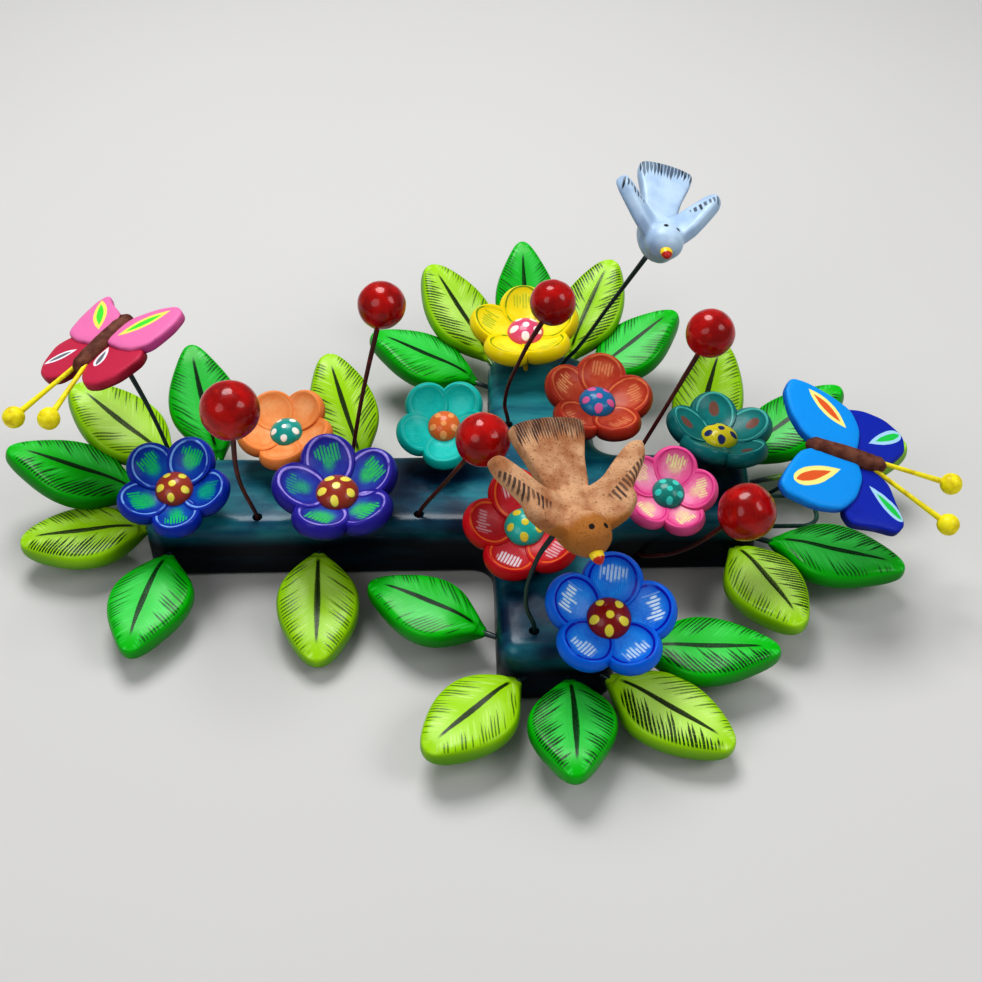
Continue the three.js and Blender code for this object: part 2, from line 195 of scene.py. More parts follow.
def pick(piece, kind, test):
    """In edit mode, selects only the points, edges or faces that pass the test."""
    bpy.ops.mesh.select_mode(type=kind)
    bpy.ops.mesh.select_all(action="DESELECT")
    work_in("OBJECT")
    mesh = piece.data
    if kind == "EDGE":
        for edge in mesh.edges:
            ends = [mesh.vertices[i].co for i in edge.vertices]
            edge.select = bool(test(*ends))
    elif kind == "FACE":
        for face in mesh.polygons:
            face.select = bool(test(face.center, face.normal))
    else:
        for point in mesh.vertices:
            point.select = bool(test(point.co))
    work_in("EDIT")


def pick_all():
    bpy.ops.mesh.select_all(action="SELECT")


def pick_side(piece, upward):
    """Selects the flat top of a piece with 1, or its flat underside with -1."""
    pick(piece, "FACE", lambda c, n: n.z * upward > 0.9)


def pull(x, y, z):
    """Extrudes what is selected by this much."""
    bpy.ops.mesh.extrude_region_move(TRANSFORM_OT_translate={"value": (x, y, z)})


def work_over(piece, kind, **settings):
    """Gives the piece a modifier and applies it."""
    modifier = piece.modifiers.new(kind, kind)
    for name, value in settings.items():
        setattr(modifier, name, value)
    bpy.context.view_layer.objects.active = piece
    bpy.ops.object.modifier_apply(modifier=modifier.name)


def take(first, *others):
    """Selects only these pieces, with the first one active."""
    bpy.ops.object.select_all(action="DESELECT")
    for piece in (first, *others):
        piece.select_set(True)
    bpy.context.view_layer.objects.active = first


def join(first, *others):
    take(first, *others)
    bpy.ops.object.join()
    return first


def turned_to(way):
    """The turn that takes +Z to this way."""
    return way.to_track_quat("Z", "Y").to_matrix().to_4x4()


def seat(piece, name, body, node, slot, *paints):
    """The finished piece gets its name, its paints and its place in the frame."""
    piece.name = name
    piece.data.name = name
    for paint in paints:
        piece.data.materials.append(paint.material)
    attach(piece, body)
    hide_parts(node)


half = ARM_WIDTH / 2
bpy.ops.mesh.primitive_cube_add(size=1, location=(0, 0, THICK / 2), scale=(ARM_WIDTH, ARM_WIDTH, THICK))
bpy.ops.object.transform_apply(location=True, rotation=False, scale=True)
cross = bpy.context.object
work_in("EDIT")
for way, reach in ARMS:
    out = Vector(way)
    pick(cross, "FACE", lambda c, n: n.dot(out) > 0.9 and abs(c.x * out.y - c.y * out.x) < MM)
    pull(*(out * reach * MM))
pick(cross, "EDGE", lambda a, b: abs(a.z - b.z) > 20 * MM and max(abs(a.x), abs(a.y)) > half + MM)
bpy.ops.mesh.bevel(offset=CORNER_ROUND, segments=ROUND_STEPS, affect="EDGES")
pick(cross, "EDGE", lambda a, b: abs(a.z - b.z) > 20 * MM and max(abs(a.x), abs(a.y)) < half + MM)
bpy.ops.mesh.bevel(offset=FILLET, segments=ROUND_STEPS, affect="EDGES")
pick_all()
bpy.ops.mesh.dissolve_limited(angle_limit=0.01)
for upward, edge_round in ((1, FRONT_ROUND), (-1, BACK_ROUND)):
    pick_side(cross, upward)
    bpy.ops.mesh.region_to_loop()
    bpy.ops.mesh.bevel(offset=edge_round, segments=ROUND_STEPS, affect="EDGES")
work_in("OBJECT")
work_over(cross, "REMESH", mode="VOXEL", voxel_size=CROSS_VOXEL)
work_over(cross, "SMOOTH", factor=0.5, iterations=4)
kneaded = bpy.data.textures.new("kneaded_clay", "CLOUDS")
kneaded.noise_scale = 0.03
raised = cross.vertex_groups.new(name="raised")
raised.add([p.index for p in cross.data.vertices if p.co.z > 4 * MM], 1.0, "REPLACE")
lumps = {"texture": kneaded, "texture_coords": "LOCAL"}
work_over(cross, "DISPLACE", strength=HAND_UNEVEN, vertex_group="raised", **lumps)
low = min(p.co.z for p in cross.data.vertices)
cross.data.transform(Matrix.Translation((0, 0, -low)))

drills = []
for route in ROUTES.values():
    root, mouth = [Vector(point) * MM for point in route[:2]]
    along = (mouth - root).normalized()
    bpy.ops.mesh.primitive_cylinder_add(vertices=16, radius=HOLE, depth=HOLE_LONG)
    drills.append(bpy.context.object)
    drills[-1].data.transform(turned_to(along))
    drills[-1].data.transform(Matrix.Translation(root + along * HOLE_MIDDLE))
join(*drills)
work_over(cross, "BOOLEAN", operation="DIFFERENCE", object=drills[0], solver="EXACT")
bpy.data.objects.remove(drills[0])
take(cross)
bpy.ops.object.shade_smooth_by_angle(angle=SHARP)

teal = Paint("teal_lacquer", Coat_Roughness=0.2, Specular_IOR_Level=0.15)
clouds = teal.noise(26, 5, stretch=(0.7, 1.0, 1.0))
streaks = teal.noise(160, 3, stretch=(0.25, 1.0, 1.0))
speckle = teal.noise(900, 2)
front = teal.up.fade(15 * MM, 24.5 * MM)
light_teal = teal.mix("#095670", "#2c949c", (clouds * 0.7 + streaks * 0.5).fade(0.5, 0.84))
clouded = teal.mix(light_teal, "#021c38", clouds.fade(0.53, 0.36))
# Below the top face the flanks go nearly black: partly dark paint, partly painted shade.
shaded_sides = teal.mix("#01060f", "#04202e", streaks.fade(0.45, 0.75))
painted = teal.mix(shaded_sides, clouded, front * (0.75 + 0.25 * clouds))
teal.lay(
    Base_Color=teal.mix(painted, "#7fb8b0", speckle.fade(0.74, 0.8) * front * 0.5),
    Roughness=(streaks * 0.25 + speckle * 0.2).fade(0.1, 0.4, 0.28, 0.5),
    Coat_Weight=front.fade(0.0, 1.0, 0.1, 0.32),
)
teal.bump(clouds * 0.8 + streaks * 0.3 + speckle * 0.06, 1.1 * MM, 0.7)
seat(cross, "lacquered_cross", "root", "cross_body", "body_teal", teal)

# ---- the hanging loop --------------------------------------------------------------------------
# A single iron wire stands out of the head end as a flat U, both ends bedded in the clay. It is
# how the cross hangs on a nail, and it was brushed over with the dark green of the stems.
LOOP_HEIGHT = 11 * MM
LOOP_SIDE = 8.5 * MM
LOOP_FROM = 73 * MM
LOOP_REACH = 107.1 * MM
LOOP_BEND = 6.5 * MM
LOOP_WIRE = 0.9 * MM


def wire_paint(name, main, worn):
    """Brushed enamel on iron wire, thin enough in places that the rust shows."""
    enamel = Paint(name, Coat_Roughness=0.2, Coat_Weight=0.4, Specular_IOR_Level=0.35)
    brushed = enamel.noise(220, 4)
    fine = enamel.noise(1500, 2)
    enamel.lay(
        Base_Color=enamel.mix(main, worn, brushed.fade(0.52, 0.72)),
        Roughness=brushed.spread(0.35, 0.6),
    )
    enamel.bump(brushed * 0.7 + fine * 0.3, 0.25 * MM, 0.6)
    return enamel


loop_paint = wire_paint("loop_enamel", "#0a3a34", "#12503c")
bpy.ops.mesh.primitive_circle_add(vertices=12, radius=LOOP_WIRE, fill_type="NGON")
loop = bpy.context.object
loop.data.transform(Matrix.Rotation(math.radians(90), 4, "Y"))
loop.data.transform(Matrix.Translation((LOOP_FROM, -LOOP_SIDE, LOOP_HEIGHT)))
bend_start = LOOP_REACH - LOOP_BEND
work_in("EDIT")
bpy.ops.mesh.select_mode(type="FACE")
pick_all()
pull(bend_start - LOOP_FROM, 0, 0)
for side in (-1, 1):
    centre = (bend_start, side * (LOOP_SIDE - LOOP_BEND), LOOP_HEIGHT)
    bpy.ops.mesh.spin(steps=8, angle=math.radians(-90), center=centre, axis=(0, 0, 1))
    if side < 0:
        pull(0, 2 * (LOOP_SIDE - LOOP_BEND), 0)
    else:
        pull(LOOP_FROM - bend_start, 0, 0)
pick_all()
bpy.ops.mesh.remove_doubles(threshold=0.01 * MM)
bpy.ops.mesh.normals_make_consistent(inside=False)
work_in("OBJECT")
bpy.ops.object.shade_smooth_by_angle(angle=SHARP)
seat(loop, "enamelled_hanging_loop", "root", "hanging_loop", "wire_loop", loop_paint)

# ---- the leaves --------------------------------------------------------------------------------
# Each leaf is a thick pillow of clay on a short stiff wire that is bedded in the edge of the cross.
# It is painted green or lime, with one dark midrib, fine dark brush strokes and a pale middle.
LEAF_THICK = 8 * MM
LEAF_EDGE = 1.7 * MM
LEAF_LONG = 50 * MM
LEAF_WIDE = 30 * MM
LEAF_ROOT = 3.2 * MM
LEAF_LEVEL = 13
LEAF_STEPS = 10
LEAF_CUSHION = ((0.40, 0.4), (0.24, 0.35))
LEAF_WIDTHS = {
    "green": [0.24, 0.49, 0.77, 0.94, 1.0, 0.98, 0.90, 0.76, 0.58, 0.39, 0.22],
    "lime": [0.26, 0.53, 0.79, 0.94, 0.99, 0.98, 0.92, 0.81, 0.65, 0.46, 0.27],
}
STEM_WIRE = 1.0 * MM
STEM_BED = 8 * MM
STEM_IN_LEAF = 3 * MM
LEAF_GAP = 0.5 * MM
LEAF_FLARE = 1.4
LEAVES = [
    ((-153, 8), (172, 20), 10, (50, 30), "green"), ((-153, -8), (-169, 0), 4, (45, 29), "lime"),
    ((-143, 21), (146, 24), 11, (48, 30), "lime"), ((-144, -21), (-97, -3), 4, (45, 30), "green"),
    ((-129, 21), (103, 30), 10, (48, 28), "green"), ((-71, 21), (114, 27), 8, (47, 27), "lime"),
    ((-87, -21), (-92, -7), 4, (47, 30), "lime"), ((-21, -65), (157, 3), 7, (45, 28), "green"),
    ((-12, -84), (-138, 2), 5, (43, 29), "lime"), ((4, -84), (-88, 2), 4, (41, 30), "green"),
    ((17, -84), (-37, -5), 4, (47, 29), "lime"), ((21, -72), (-4, 3), 11, (48, 28), "green"),
    ((-16, 84), (125, 27), 11, (48, 28), "lime"), ((-2, 84), (92, 34), 13, (48, 26), "green"),
    ((12, 84), (64, 28), 10, (48, 27), "lime"), ((21, 76), (32, 18), 6, (47, 28), "green"),
    ((-21, 76), (163, 14), 8, (47, 29), "green"), ((59, 21), (66, 30), 9, (48, 28), "lime"),
    ((75, 21), (30, 24), 9, (48, 28), "green"), ((81, 14), (4, 10), 20, (46, 27), "lime"),
    ((70, -21), (-63, 2), 4, (44, 29), "lime"), ((81, -17), (-22, 0), 8, (48, 29), "green"),
]


def shove(x, y, z):
    """Moves what is selected."""
    bpy.ops.transform.translate(value=(x, y, z))


def swell(x, y, z, about=(0, 0, 0)):
    """Scales what is selected about a place."""
    bpy.ops.transform.resize(value=(x, y, z), center_override=about)


def aim(azimuth, elevation, roll=0):
    """Local +X points along azimuth and elevation, local +Z stays on top, then roll about local X."""
    turn = Matrix.Rotation(math.radians(azimuth), 4, "Z")
    turn = turn @ Matrix.Rotation(math.radians(-elevation), 4, "Y")
    return turn @ Matrix.Rotation(math.radians(roll), 4, "X")


def shift(x, y, z):
    return Matrix.Translation((x * MM, y * MM, z * MM))


def remember(piece, long, wide):
    """Each point keeps where it was in plan on the unplaced piece, and how far its surface faces
    up, so that the brush marks follow the clay wherever the piece goes."""
    mesh = piece.data
    points = np.zeros(len(mesh.vertices) * 3)
    ways = np.zeros(len(mesh.vertices) * 3)
    mesh.vertices.foreach_get("co", points)
    mesh.vertices.foreach_get("normal", ways)
    kept = points.reshape(-1, 3) / (long, wide, 1.0)
    kept[:, 2] = ways.reshape(-1, 3)[:, 2]
    mark = mesh.attributes.get("brushed") or mesh.attributes.new("brushed", "FLOAT_VECTOR", "POINT")
    mark.data.foreach_set("vector", kept.ravel())


def brushed(paint):
    """The kept plan place and upward share of a painted piece's surface."""
    node = paint.make("Attribute", {"attribute_name": "brushed"})
    split = paint.make("SeparateXYZ", {}, {0: Mark(paint, node.outputs["Vector"])})
    return [Mark(paint, socket) for socket in split.outputs]


def number_it(piece, number):
    """Each copy carries its own whole number, so that no two are brushed alike."""
    mark = piece.data.attributes.new("own_number", "FLOAT", "POINT")
    mark.data.foreach_set("value", [float(number)] * len(piece.data.vertices))


def own_number(paint):
    return Mark(paint, paint.make("Attribute", {"attribute_name": "own_number"}).outputs["Fac"])


def another(piece):
    """A copy with its own mesh."""
    twin = piece.copy()
    twin.data = piece.data.copy()
    bpy.context.scene.collection.objects.link(twin)
    return twin


def coat(piece, worn, *paints):
    """Hands the piece its paints, and lays one of them, by its number, over every face."""
    for paint in paints:
        piece.data.materials.append(paint.material)
    for face in piece.data.polygons:
        face.material_index = worn


def smooth(piece):
    for face in piece.data.polygons:
        face.use_smooth = True


def rod(reach, bed, cut, flare):
    """A stiff straight wire up Z, its foot bedded below 0, scored at the cut and flared at its end."""
    bpy.ops.mesh.primitive_cylinder_add(vertices=12, radius=STEM_WIRE, depth=bed + reach)
    made = bpy.context.object
    made.data.transform(Matrix.Translation((0, 0, (reach - bed) / 2)))
    work_in("EDIT")
    pick_all()
    bpy.ops.mesh.bisect(plane_co=(0, 0, cut), plane_no=(0, 0, 1))
    pick(made, "VERT", lambda p: p.z > reach - 0.1 * MM)
    swell(flare, flare, 1)
    work_in("OBJECT")
    smooth(made)
    return made


def leaf_paint(name, ground, deep, glow, ink):
    """The ground and its painted shade, the pale middle, the strokes down both halves, the midrib over
    them.
    """
    leaf = Paint(name, Coat_Roughness=0.2, Coat_Weight=0.22, Specular_IOR_Level=0.12)
    along, across, top = brushed(leaf)
    own = own_number(leaf)
    cloud = leaf.noise(70, 3)
    broad = leaf.noise(26, 1)
    bristle = leaf.noise(500, 3, stretch=(1.0, 1.0, 0.3))
    side = abs(across)
    bulge = ((along - 0.44) / 0.62).most((0.44 - along) / 0.47)
    ratio = side / (1.0 - bulge * bulge).most(0.05)
    flat = top.fade(0.5, 0.8)
    middle = (1.0 - (along - 0.5) * (along - 0.5) * 4.0 - ratio * ratio * 0.9).fade(0.1, 0.95)
    wash = middle * broad.fade(0.4, 0.66) * (0.3 + cloud * 0.9) * flat
    # Deep green where the surface faces away from up is painted shade; it also comes in broad random
    # patches and a little towards the rim.
    painted = leaf.mix(deep, ground, (top * 0.9 + broad * 0.8 - ratio * 0.25).fade(-0.1, 1.0))
    painted = leaf.mix(painted, glow, wash.least(0.5))
    row = (along - side * 0.26) * 28.0 + (leaf.noise(60, 1) - 0.5) * 1.6
    stroke = row.whole()
    half_of_leaf = across.fade(-0.01, 0.01)
    drawn = leaf.chance(stroke + half_of_leaf * 57.0 + own * 31.0)
    bold = leaf.chance(own * 7.0 + half_of_leaf * 3.0).fade(0.35, 0.85)
    gap = abs(row - stroke - 0.5)
    pale = leaf.chance(stroke + half_of_leaf * 19.0 + own * 11.0)
    light = (0.34 - gap).fade(-0.14, 0.14) * pale * (ratio - 0.15).fade(0.0, 0.2) * ratio.fade(0.85, 0.6)
    painted = leaf.mix(painted, glow, light * flat * 0.6)
    start = 0.68 - bold * 0.2 - drawn * 0.38
    run = (ratio - start) / 0.34
    thick = run.fade(0.0, 0.8, 0.05, 0.27) * (0.5 + drawn * 0.6 + bold * 0.35)
    line = (thick - gap).fade(-0.05, 0.06)
    reach = run.fade(0.0, 0.1) * ratio.fade(0.96, 0.88) * along.fade(0.08, 0.14) * along.fade(0.96, 0.88)
    dry = leaf.noise(2600, 1).fade(0.25, 0.5, 0.5, 1.0)
    strokes = line * reach * flat * dry * (drawn + bold * 0.3).fade(0.12, 0.3) * (0.75 + bold * 0.25)
    painted = leaf.mix(painted, ink, strokes)
    sway = (leaf.chance(own * 5.0) - 0.5) * 0.5
    rib = abs(across - sway * along * (1.0 - along) * 1.4)
    rib_width = along.fade(0.0, 0.5, 0.035, 0.07) * along.fade(0.9, 0.5, 0.3, 1.0) + bristle * 0.015
    midrib = (rib_width - rib).fade(-0.01, 0.012) * along.fade(0.02, 0.08) * along.fade(0.88, 0.8)
    painted = leaf.mix(painted, hue(ink, 0.5), midrib * top.fade(0.3, 0.6) * 0.96)
    leaf.lay(
        Base_Color=painted,
        Roughness=(cloud * 0.5 + bristle * 0.5).spread(0.3, 0.5),
    )
    leaf.bump(cloud * 0.6 + bristle * 0.22 + strokes * 0.12 + midrib * 0.15, 0.6 * MM, 0.6)
    return leaf


def stem_paint(name, near_leaf):
    """Wire enamelled dark by the cross, and caught by the leaf's own paint further out."""
    stem = Paint(name, Coat_Roughness=0.2, Coat_Weight=0.5, Specular_IOR_Level=0.35)
    out, _, _ = brushed(stem)
    grain = stem.noise(700, 3)
    stem.lay(
        Base_Color=stem.mix("#06262a", near_leaf, (out + grain * 0.5).fade(0.5, 0.9)),
        Roughness=grain.spread(0.3, 0.55),
    )
    stem.bump(grain, 0.2 * MM, 0.5)
    return stem


blades = {}
for colour, widths in LEAF_WIDTHS.items():
    bpy.ops.mesh.primitive_grid_add(x_subdivisions=LEAF_STEPS, y_subdivisions=4, size=1)
    blade = bpy.context.object
    work_in("EDIT")
    pick_all()
    bpy.ops.transform.resize(value=(LEAF_LONG, LEAF_WIDE, 1))
    shove(LEAF_LONG / 2, 0, LEAF_THICK / 2)
    for column, width in enumerate(widths):
        x = LEAF_LONG * column / LEAF_STEPS
        pick(blade, "VERT", lambda p: abs(p.x - x) < 0.2 * MM)
        swell(1, width, 1, (x, 0, 0))
    for reach, back in ((0.05, 0.5), (0.09, 1.0)):
        pick(blade, "VERT", lambda p: p.x > 0.94 * LEAF_LONG and abs(p.y) > reach * LEAF_WIDE)
        shove(-back * MM, 0, 0)
    pick_all()
    for _ in range(2):
        pull(0, 0, -LEAF_THICK / 2)
    pick_all()
    bpy.ops.mesh.normals_make_consistent(inside=False)
    pick(blade, "VERT", lambda p: abs(p.z) < 0.1 * MM)
    swell(1.01, 1.06, 1, (LEAF_LONG / 2, 0, 0))
    for upward in (1, -1):
        pick_side(blade, upward)
        bpy.ops.mesh.region_to_loop()
        bpy.ops.mesh.bevel(offset=LEAF_EDGE, segments=2, affect="EDGES")
    for reach, lift in LEAF_CUSHION:
        for upward in (1, -1):
            pick(blade, "VERT", lambda p: p.z * upward > 3.9 * MM and abs(p.y) < reach * LEAF_WIDE
                 and 0.12 * LEAF_LONG < p.x < 0.9 * LEAF_LONG)
            shove(0, 0, upward * lift * MM)
    pick(blade, "VERT", lambda p: p.x > 0.93 * LEAF_LONG or p.x < 0.05 * LEAF_LONG)
    swell(1, 1, 0.78)
    pick(blade, "FACE", lambda c, n: n.x < -0.9 and c.x < 0.1 * MM)
    pull(-LEAF_ROOT, 0, 0)
    swell(1, 0.5, 0.42, (-LEAF_ROOT, 0, 0))
    work_in("OBJECT")
    work_over(blade, "SUBSURF", levels=2, render_levels=2)
    smooth(blade)
    remember(blade, LEAF_LONG, LEAF_WIDE / 2)
    blades[colour] = blade
LEAF_PAINTS = {
    "green": leaf_paint("green_leaf", "#00b806", "#017c04", "#54e06c", "#021c0a"),
    "lime": leaf_paint("lime_leaf", "#a0d808", "#5a9400", "#d4f88c", "#0a2408"),
}
STEM_PAINTS = {
    "green": stem_paint("green_leaf_stem", "#0c7a20"),
    "lime": stem_paint("lime_leaf_stem", "#5c8c14"),
}
for number, (root, way, wire, size, colour) in enumerate(LEAVES, 1):
    reach = wire * MM + STEM_IN_LEAF
    stem = rod(reach, STEM_BED, LEAF_GAP, LEAF_FLARE)
    stem.data.transform(turned_to(Vector((1, 0, 0))))
    remember(stem, reach, STEM_WIRE)
    leaf = another(blades[colour])
    number_it(leaf, number)
    lopsided = Matrix.Identity(4)
    lopsided[1][0] = 0.07 * math.sin(2.9 * number)
    sized = Matrix.Diagonal((size[0] * MM / LEAF_LONG, size[1] * MM / LEAF_WIDE, 1, 1))
    leaf.data.transform(lopsided @ sized)
    leaf.data.transform(Matrix.Translation((wire * MM, 0, 0)))
    coat(leaf, 0, LEAF_PAINTS[colour], STEM_PAINTS[colour])
    coat(stem, 1, LEAF_PAINTS[colour], STEM_PAINTS[colour])
    join(leaf, stem)
    leaf.data.transform(shift(root[0], root[1], LEAF_LEVEL) @ aim(*way))
    seat(leaf, f"painted_leaf_{number}", "root", f"leaf_{number}", f"leaf_{colour}")
for blade in blades.values():
    bpy.data.objects.remove(blade)

# ---- the flowers -------------------------------------------------------------------------------
# Each flower is five thick petals of clay pressed together round a domed heart, on a short stiff
# wire set in the front of the cross. The petals carry a pale outline and hatching, the heart dots.
FLOWER_REACH = 22 * MM
PETAL = 0.47 * FLOWER_REACH
PETAL_THICK = 6.0 * MM
PETAL_AT = 0.64
PETAL_CUP = 26
PETALS = 5
PETAL_DISH = ((0.06, -0.1), (0.12, 0.5), (0.27, 0.75), (0.24, 0.35))
PETAL_BELLY = ((0.22, 0.7), (0.3, 0.9))
DOTS = 5
HEART = 0.37 * FLOWER_REACH
HEART_RAISED = 2.2
FLOWER_FOOT = 26
FLOWER_BED = 6 * MM
FLOWER_COLLAR = 3 * MM
FLOWER_FLARE = 2.2
FLOWERS = [
    ("navy", (-140, -6), (-140, -10, 33), (-90, 18), 62, 42),
    ("orange", (-104, 14), (-100, 20, 34), (-120, 14), 50, 38),
    ("violet", (-78, -10), (-79, -15, 33), (-90, 10), 31, 48),
    ("turquoise", (-36, 12), (-39, 23, 35), (-95, 30), 55, 38),
    ("yellow", (-5, 72), (-5, 80, 34), (-90, 6), 90, 46),
    ("terracotta", (14, 36), (21, 35, 34), (-60, 14), 12, 44),
    ("red", (-10, -28), (-10, -32, 33), (-90, 22), 31, 44),
    ("pink", (43, -12), (44, -16, 34), (-80, 20), 5, 37),
    ("teal", (66, 9), (67, 12, 34), (50, 6), 20, 43),
    ("blue", (14, -72), (17, -77, 33), (-90, 22), 12, 46),
]


def petal_paint(name, ground, deep, light, line, hatch, lined=1.0, hatched=1.0, spotted=0.0,
                washed=0.05):
    """The ground with painted shade, its lighter dish, the hatching or spot in it, and the broken outline
    round it.
    """
    petal = Paint(name, Coat_Roughness=0.2, Coat_Weight=0.2, Specular_IOR_Level=0.12)
    out, across, top = brushed(petal)
    own = own_number(petal)
    cloud = petal.noise(130, 3)
    bristle = petal.noise(1000, 3)
    wobble = petal.noise(90, 1) - 0.5
    away = ((out - 0.04) * (out - 0.04) * 0.9 + across * across * 1.1) ** 0.5
    dish = away.fade(0.78, 0.45) * top.fade(0.3, 0.7)
    # Deep colour where the petal faces down and towards the heart, where the petals meet, is painted shade;
    # random clouds vary it too.
    painted = petal.mix(deep, ground, (top * 0.9 + out * 0.5 + cloud * 0.6).fade(-0.2, 0.9))
    painted = petal.mix(painted, light, dish * (cloud * 1.1 + bristle * 0.3).fade(0.4, 1.0) * 0.8)
    row = across * 8.5 + wobble * 0.5 + own * 0.37
    stroke = row.whole()
    drawn = petal.chance(stroke + own * 13.0)
    gap = abs(row - stroke - 0.5)
    ends = (out + 0.1 - drawn * 0.3).fade(0.0, 0.12) * (0.66 - drawn * 0.16 - out).fade(0.0, 0.1)
    dry = bristle.fade(0.25, 0.5, 0.65, 1.0)
    some = petal.chance(own * 5.0).fade(0.1, 0.6, 0.45, 1.0)
    hatching = (0.33 - gap).fade(-0.1, 0.1) * ends * abs(across).fade(0.48, 0.36) * dry * some
    fine_row = across * 16.0 + wobble * 1.2
    faint = abs(fine_row - fine_row.whole() - 0.5).fade(0.34, 0.2) * dish * bristle * some * 0.12
    wash = (away + wobble * 0.6).fade(0.5, 0.1) * (0.4 + bristle) * (0.4 + some * 0.6) * washed
    laid = hatching.most(faint).most(wash) * top.fade(0.1, 0.4) * hatched
    painted = petal.mix(painted, hatch, laid)
    spot = ((out - 0.25) * (out - 0.25) + across * across * 1.8) ** 0.5
    painted = petal.mix(painted, hatch, (spot + wobble * 0.4).fade(0.34, 0.24) * dish * spotted)
    ring = abs(away - 0.77 + wobble * 0.14)
    outline = (0.016 + cloud * 0.04 - ring).fade(-0.02, 0.02) * out.fade(-0.72, -0.5)
    outline = outline * petal.noise(150, 1).fade(0.32, 0.42, 0.25, 1.0)
    painted = petal.mix(painted, line, outline * top.fade(0.1, 0.4) * (0.4 + bristle * 0.8) * lined)
    petal.lay(
        Base_Color=painted,
        Roughness=(cloud * 0.5 + bristle * 0.5).spread(0.3, 0.5),
    )
    raised = hatching * 0.1 * hatched + outline * 0.12 * lined
    petal.bump(cloud * 0.5 + bristle * 0.15 + raised, 0.6 * MM, 0.6)
    return petal


def heart_paint(name, ground, dot):
    """A ring of dots round one in the middle, each put on with the end of a brush handle."""
    heart = Paint(name, Coat_Roughness=0.15, Coat_Weight=0.4, Specular_IOR_Level=0.2)
    out, across, top = brushed(heart)
    cloud = heart.noise(260, 3)
    wobble = heart.noise(200, 1) - 0.5
    step = 2 * math.pi / DOTS
    away = out.far(across)
    turned = out.work("ARCTAN2", across, out) / step + 0.3
    off = (turned - (turned + 0.5).whole()) * step
    sideways = away * out.work("SINE", off)
    outwards = away * out.work("COSINE", off) - 0.64 + wobble * 0.2
    nearest = sideways.far(outwards).least(away + 0.02)
    dots = (0.185 + wobble * 0.12 - nearest).fade(-0.025, 0.025) * top.fade(-0.1, 0.15)
    # The ground at about half strength where the dome faces down is painted shade; random clouds vary it
    # too.
    painted = heart.mix(hue(ground, 0.55), ground, (top * 0.7 + cloud * 0.8).fade(0.1, 0.8))
    heart.lay(Base_Color=heart.mix(painted, dot, dots), Roughness=cloud.spread(0.25, 0.45))
    heart.bump(cloud * 0.4 + dots * 0.5, 0.5 * MM, 0.6)
    return heart


# The petals' ground, deep colour for their painted shade, light dish, outline and hatching, how
# strongly these are laid where it isn't full, and the heart's ground and dots.
FLOWER_COLOURS = {
    "navy": (("#062c9c", "#021050", "#0458b4", "#86bcf8", "#10c060"), {"washed": 0.9},
             ("#a03c28", "#f0e24c")),
    "orange": (("#ea8a48", "#b04a14", "#f8b078", "#f8c890", "#f8c890"), {"lined": 0.3, "hatched": 0.25},
               ("#14988e", "#f4f4ec")),
    "violet": (("#2c2494", "#100a4c", "#3050b4", "#b0a0f0", "#38c45c"), {"washed": 0.9},
               ("#96341f", "#f2e254")),
    "turquoise": (("#06b2a8", "#046e70", "#28d0c6", "#7ce0d4", "#5cd6c8"), {"lined": 0.3, "hatched": 0.2},
                  ("#d8682a", "#f2a060")),
    "yellow": (("#f4dc08", "#cca404", "#fcf44c", "#148014", "#3c9c24"), {"hatched": 0.55},
               ("#dc5078", "#f8eef0")),
    "terracotta": (("#ac3420", "#64100a", "#cc6040", "#e88c54", "#f0b078"), {"lined": 0.8, "hatched": 0.8},
                   ("#1878ac", "#e46ca8")),
    "red": (("#c4101c", "#74040a", "#cc2434", "#f47c30", "#f4e8f0"), {}, ("#22bcae", "#f0e044")),
    "pink": (("#ec5c9c", "#b81c60", "#f8a8cc", "#d02c80", "#f4f0a8"), {"washed": 0.7},
             ("#0c8478", "#3cd4c4")),
    "teal": (("#0a6a6a", "#043038", "#128480", "#5cc8bc", "#843c28"),
             {"lined": 0.8, "hatched": 0.0, "spotted": 0.8}, ("#e8d81c", "#1c2c70")),
    "blue": (("#0068dc", "#0230a4", "#009cf8", "#0410a8", "#dcf0ff"), {"lined": 1.6},
             ("#8c1410", "#f4e444")),
}
PETAL_PAINTS = {}
HEART_PAINTS = {}
for name, (petals, strengths, heart) in FLOWER_COLOURS.items():
    PETAL_PAINTS[name] = petal_paint(f"{name}_petals", *petals, **strengths)
    HEART_PAINTS[name] = heart_paint(f"{name}_heart", *heart)

bpy.ops.mesh.primitive_cylinder_add(vertices=16, radius=PETAL, depth=PETAL_THICK)
petal = bpy.context.object
work_in("EDIT")
pick_all()
bpy.ops.mesh.bisect(plane_co=(0, 0, 0), plane_no=(0, 0, 1))
pick(petal, "VERT", lambda p: abs(p.z) < 0.1 * MM)
swell(1.05, 1.05, 1)
pick(petal, "VERT", lambda p: abs(p.z) > 2 * MM)
swell(0.95, 0.95, 1)
pick_side(petal, 1)
for inset, drop in PETAL_DISH:
    bpy.ops.mesh.inset(thickness=inset * PETAL)
    shove(0, 0, -drop * MM)
pick_side(petal, -1)
for inset, drop in PETAL_BELLY:
    bpy.ops.mesh.inset(thickness=inset * PETAL)
    shove(0, 0, -drop * MM)
pick(petal, "VERT", lambda p: p.x < -0.35 * PETAL)
swell(1.06, 0.86, 1)
work_in("OBJECT")
work_over(petal, "SUBSURF", levels=2, render_levels=2)
smooth(petal)
remember(petal, PETAL, PETAL)

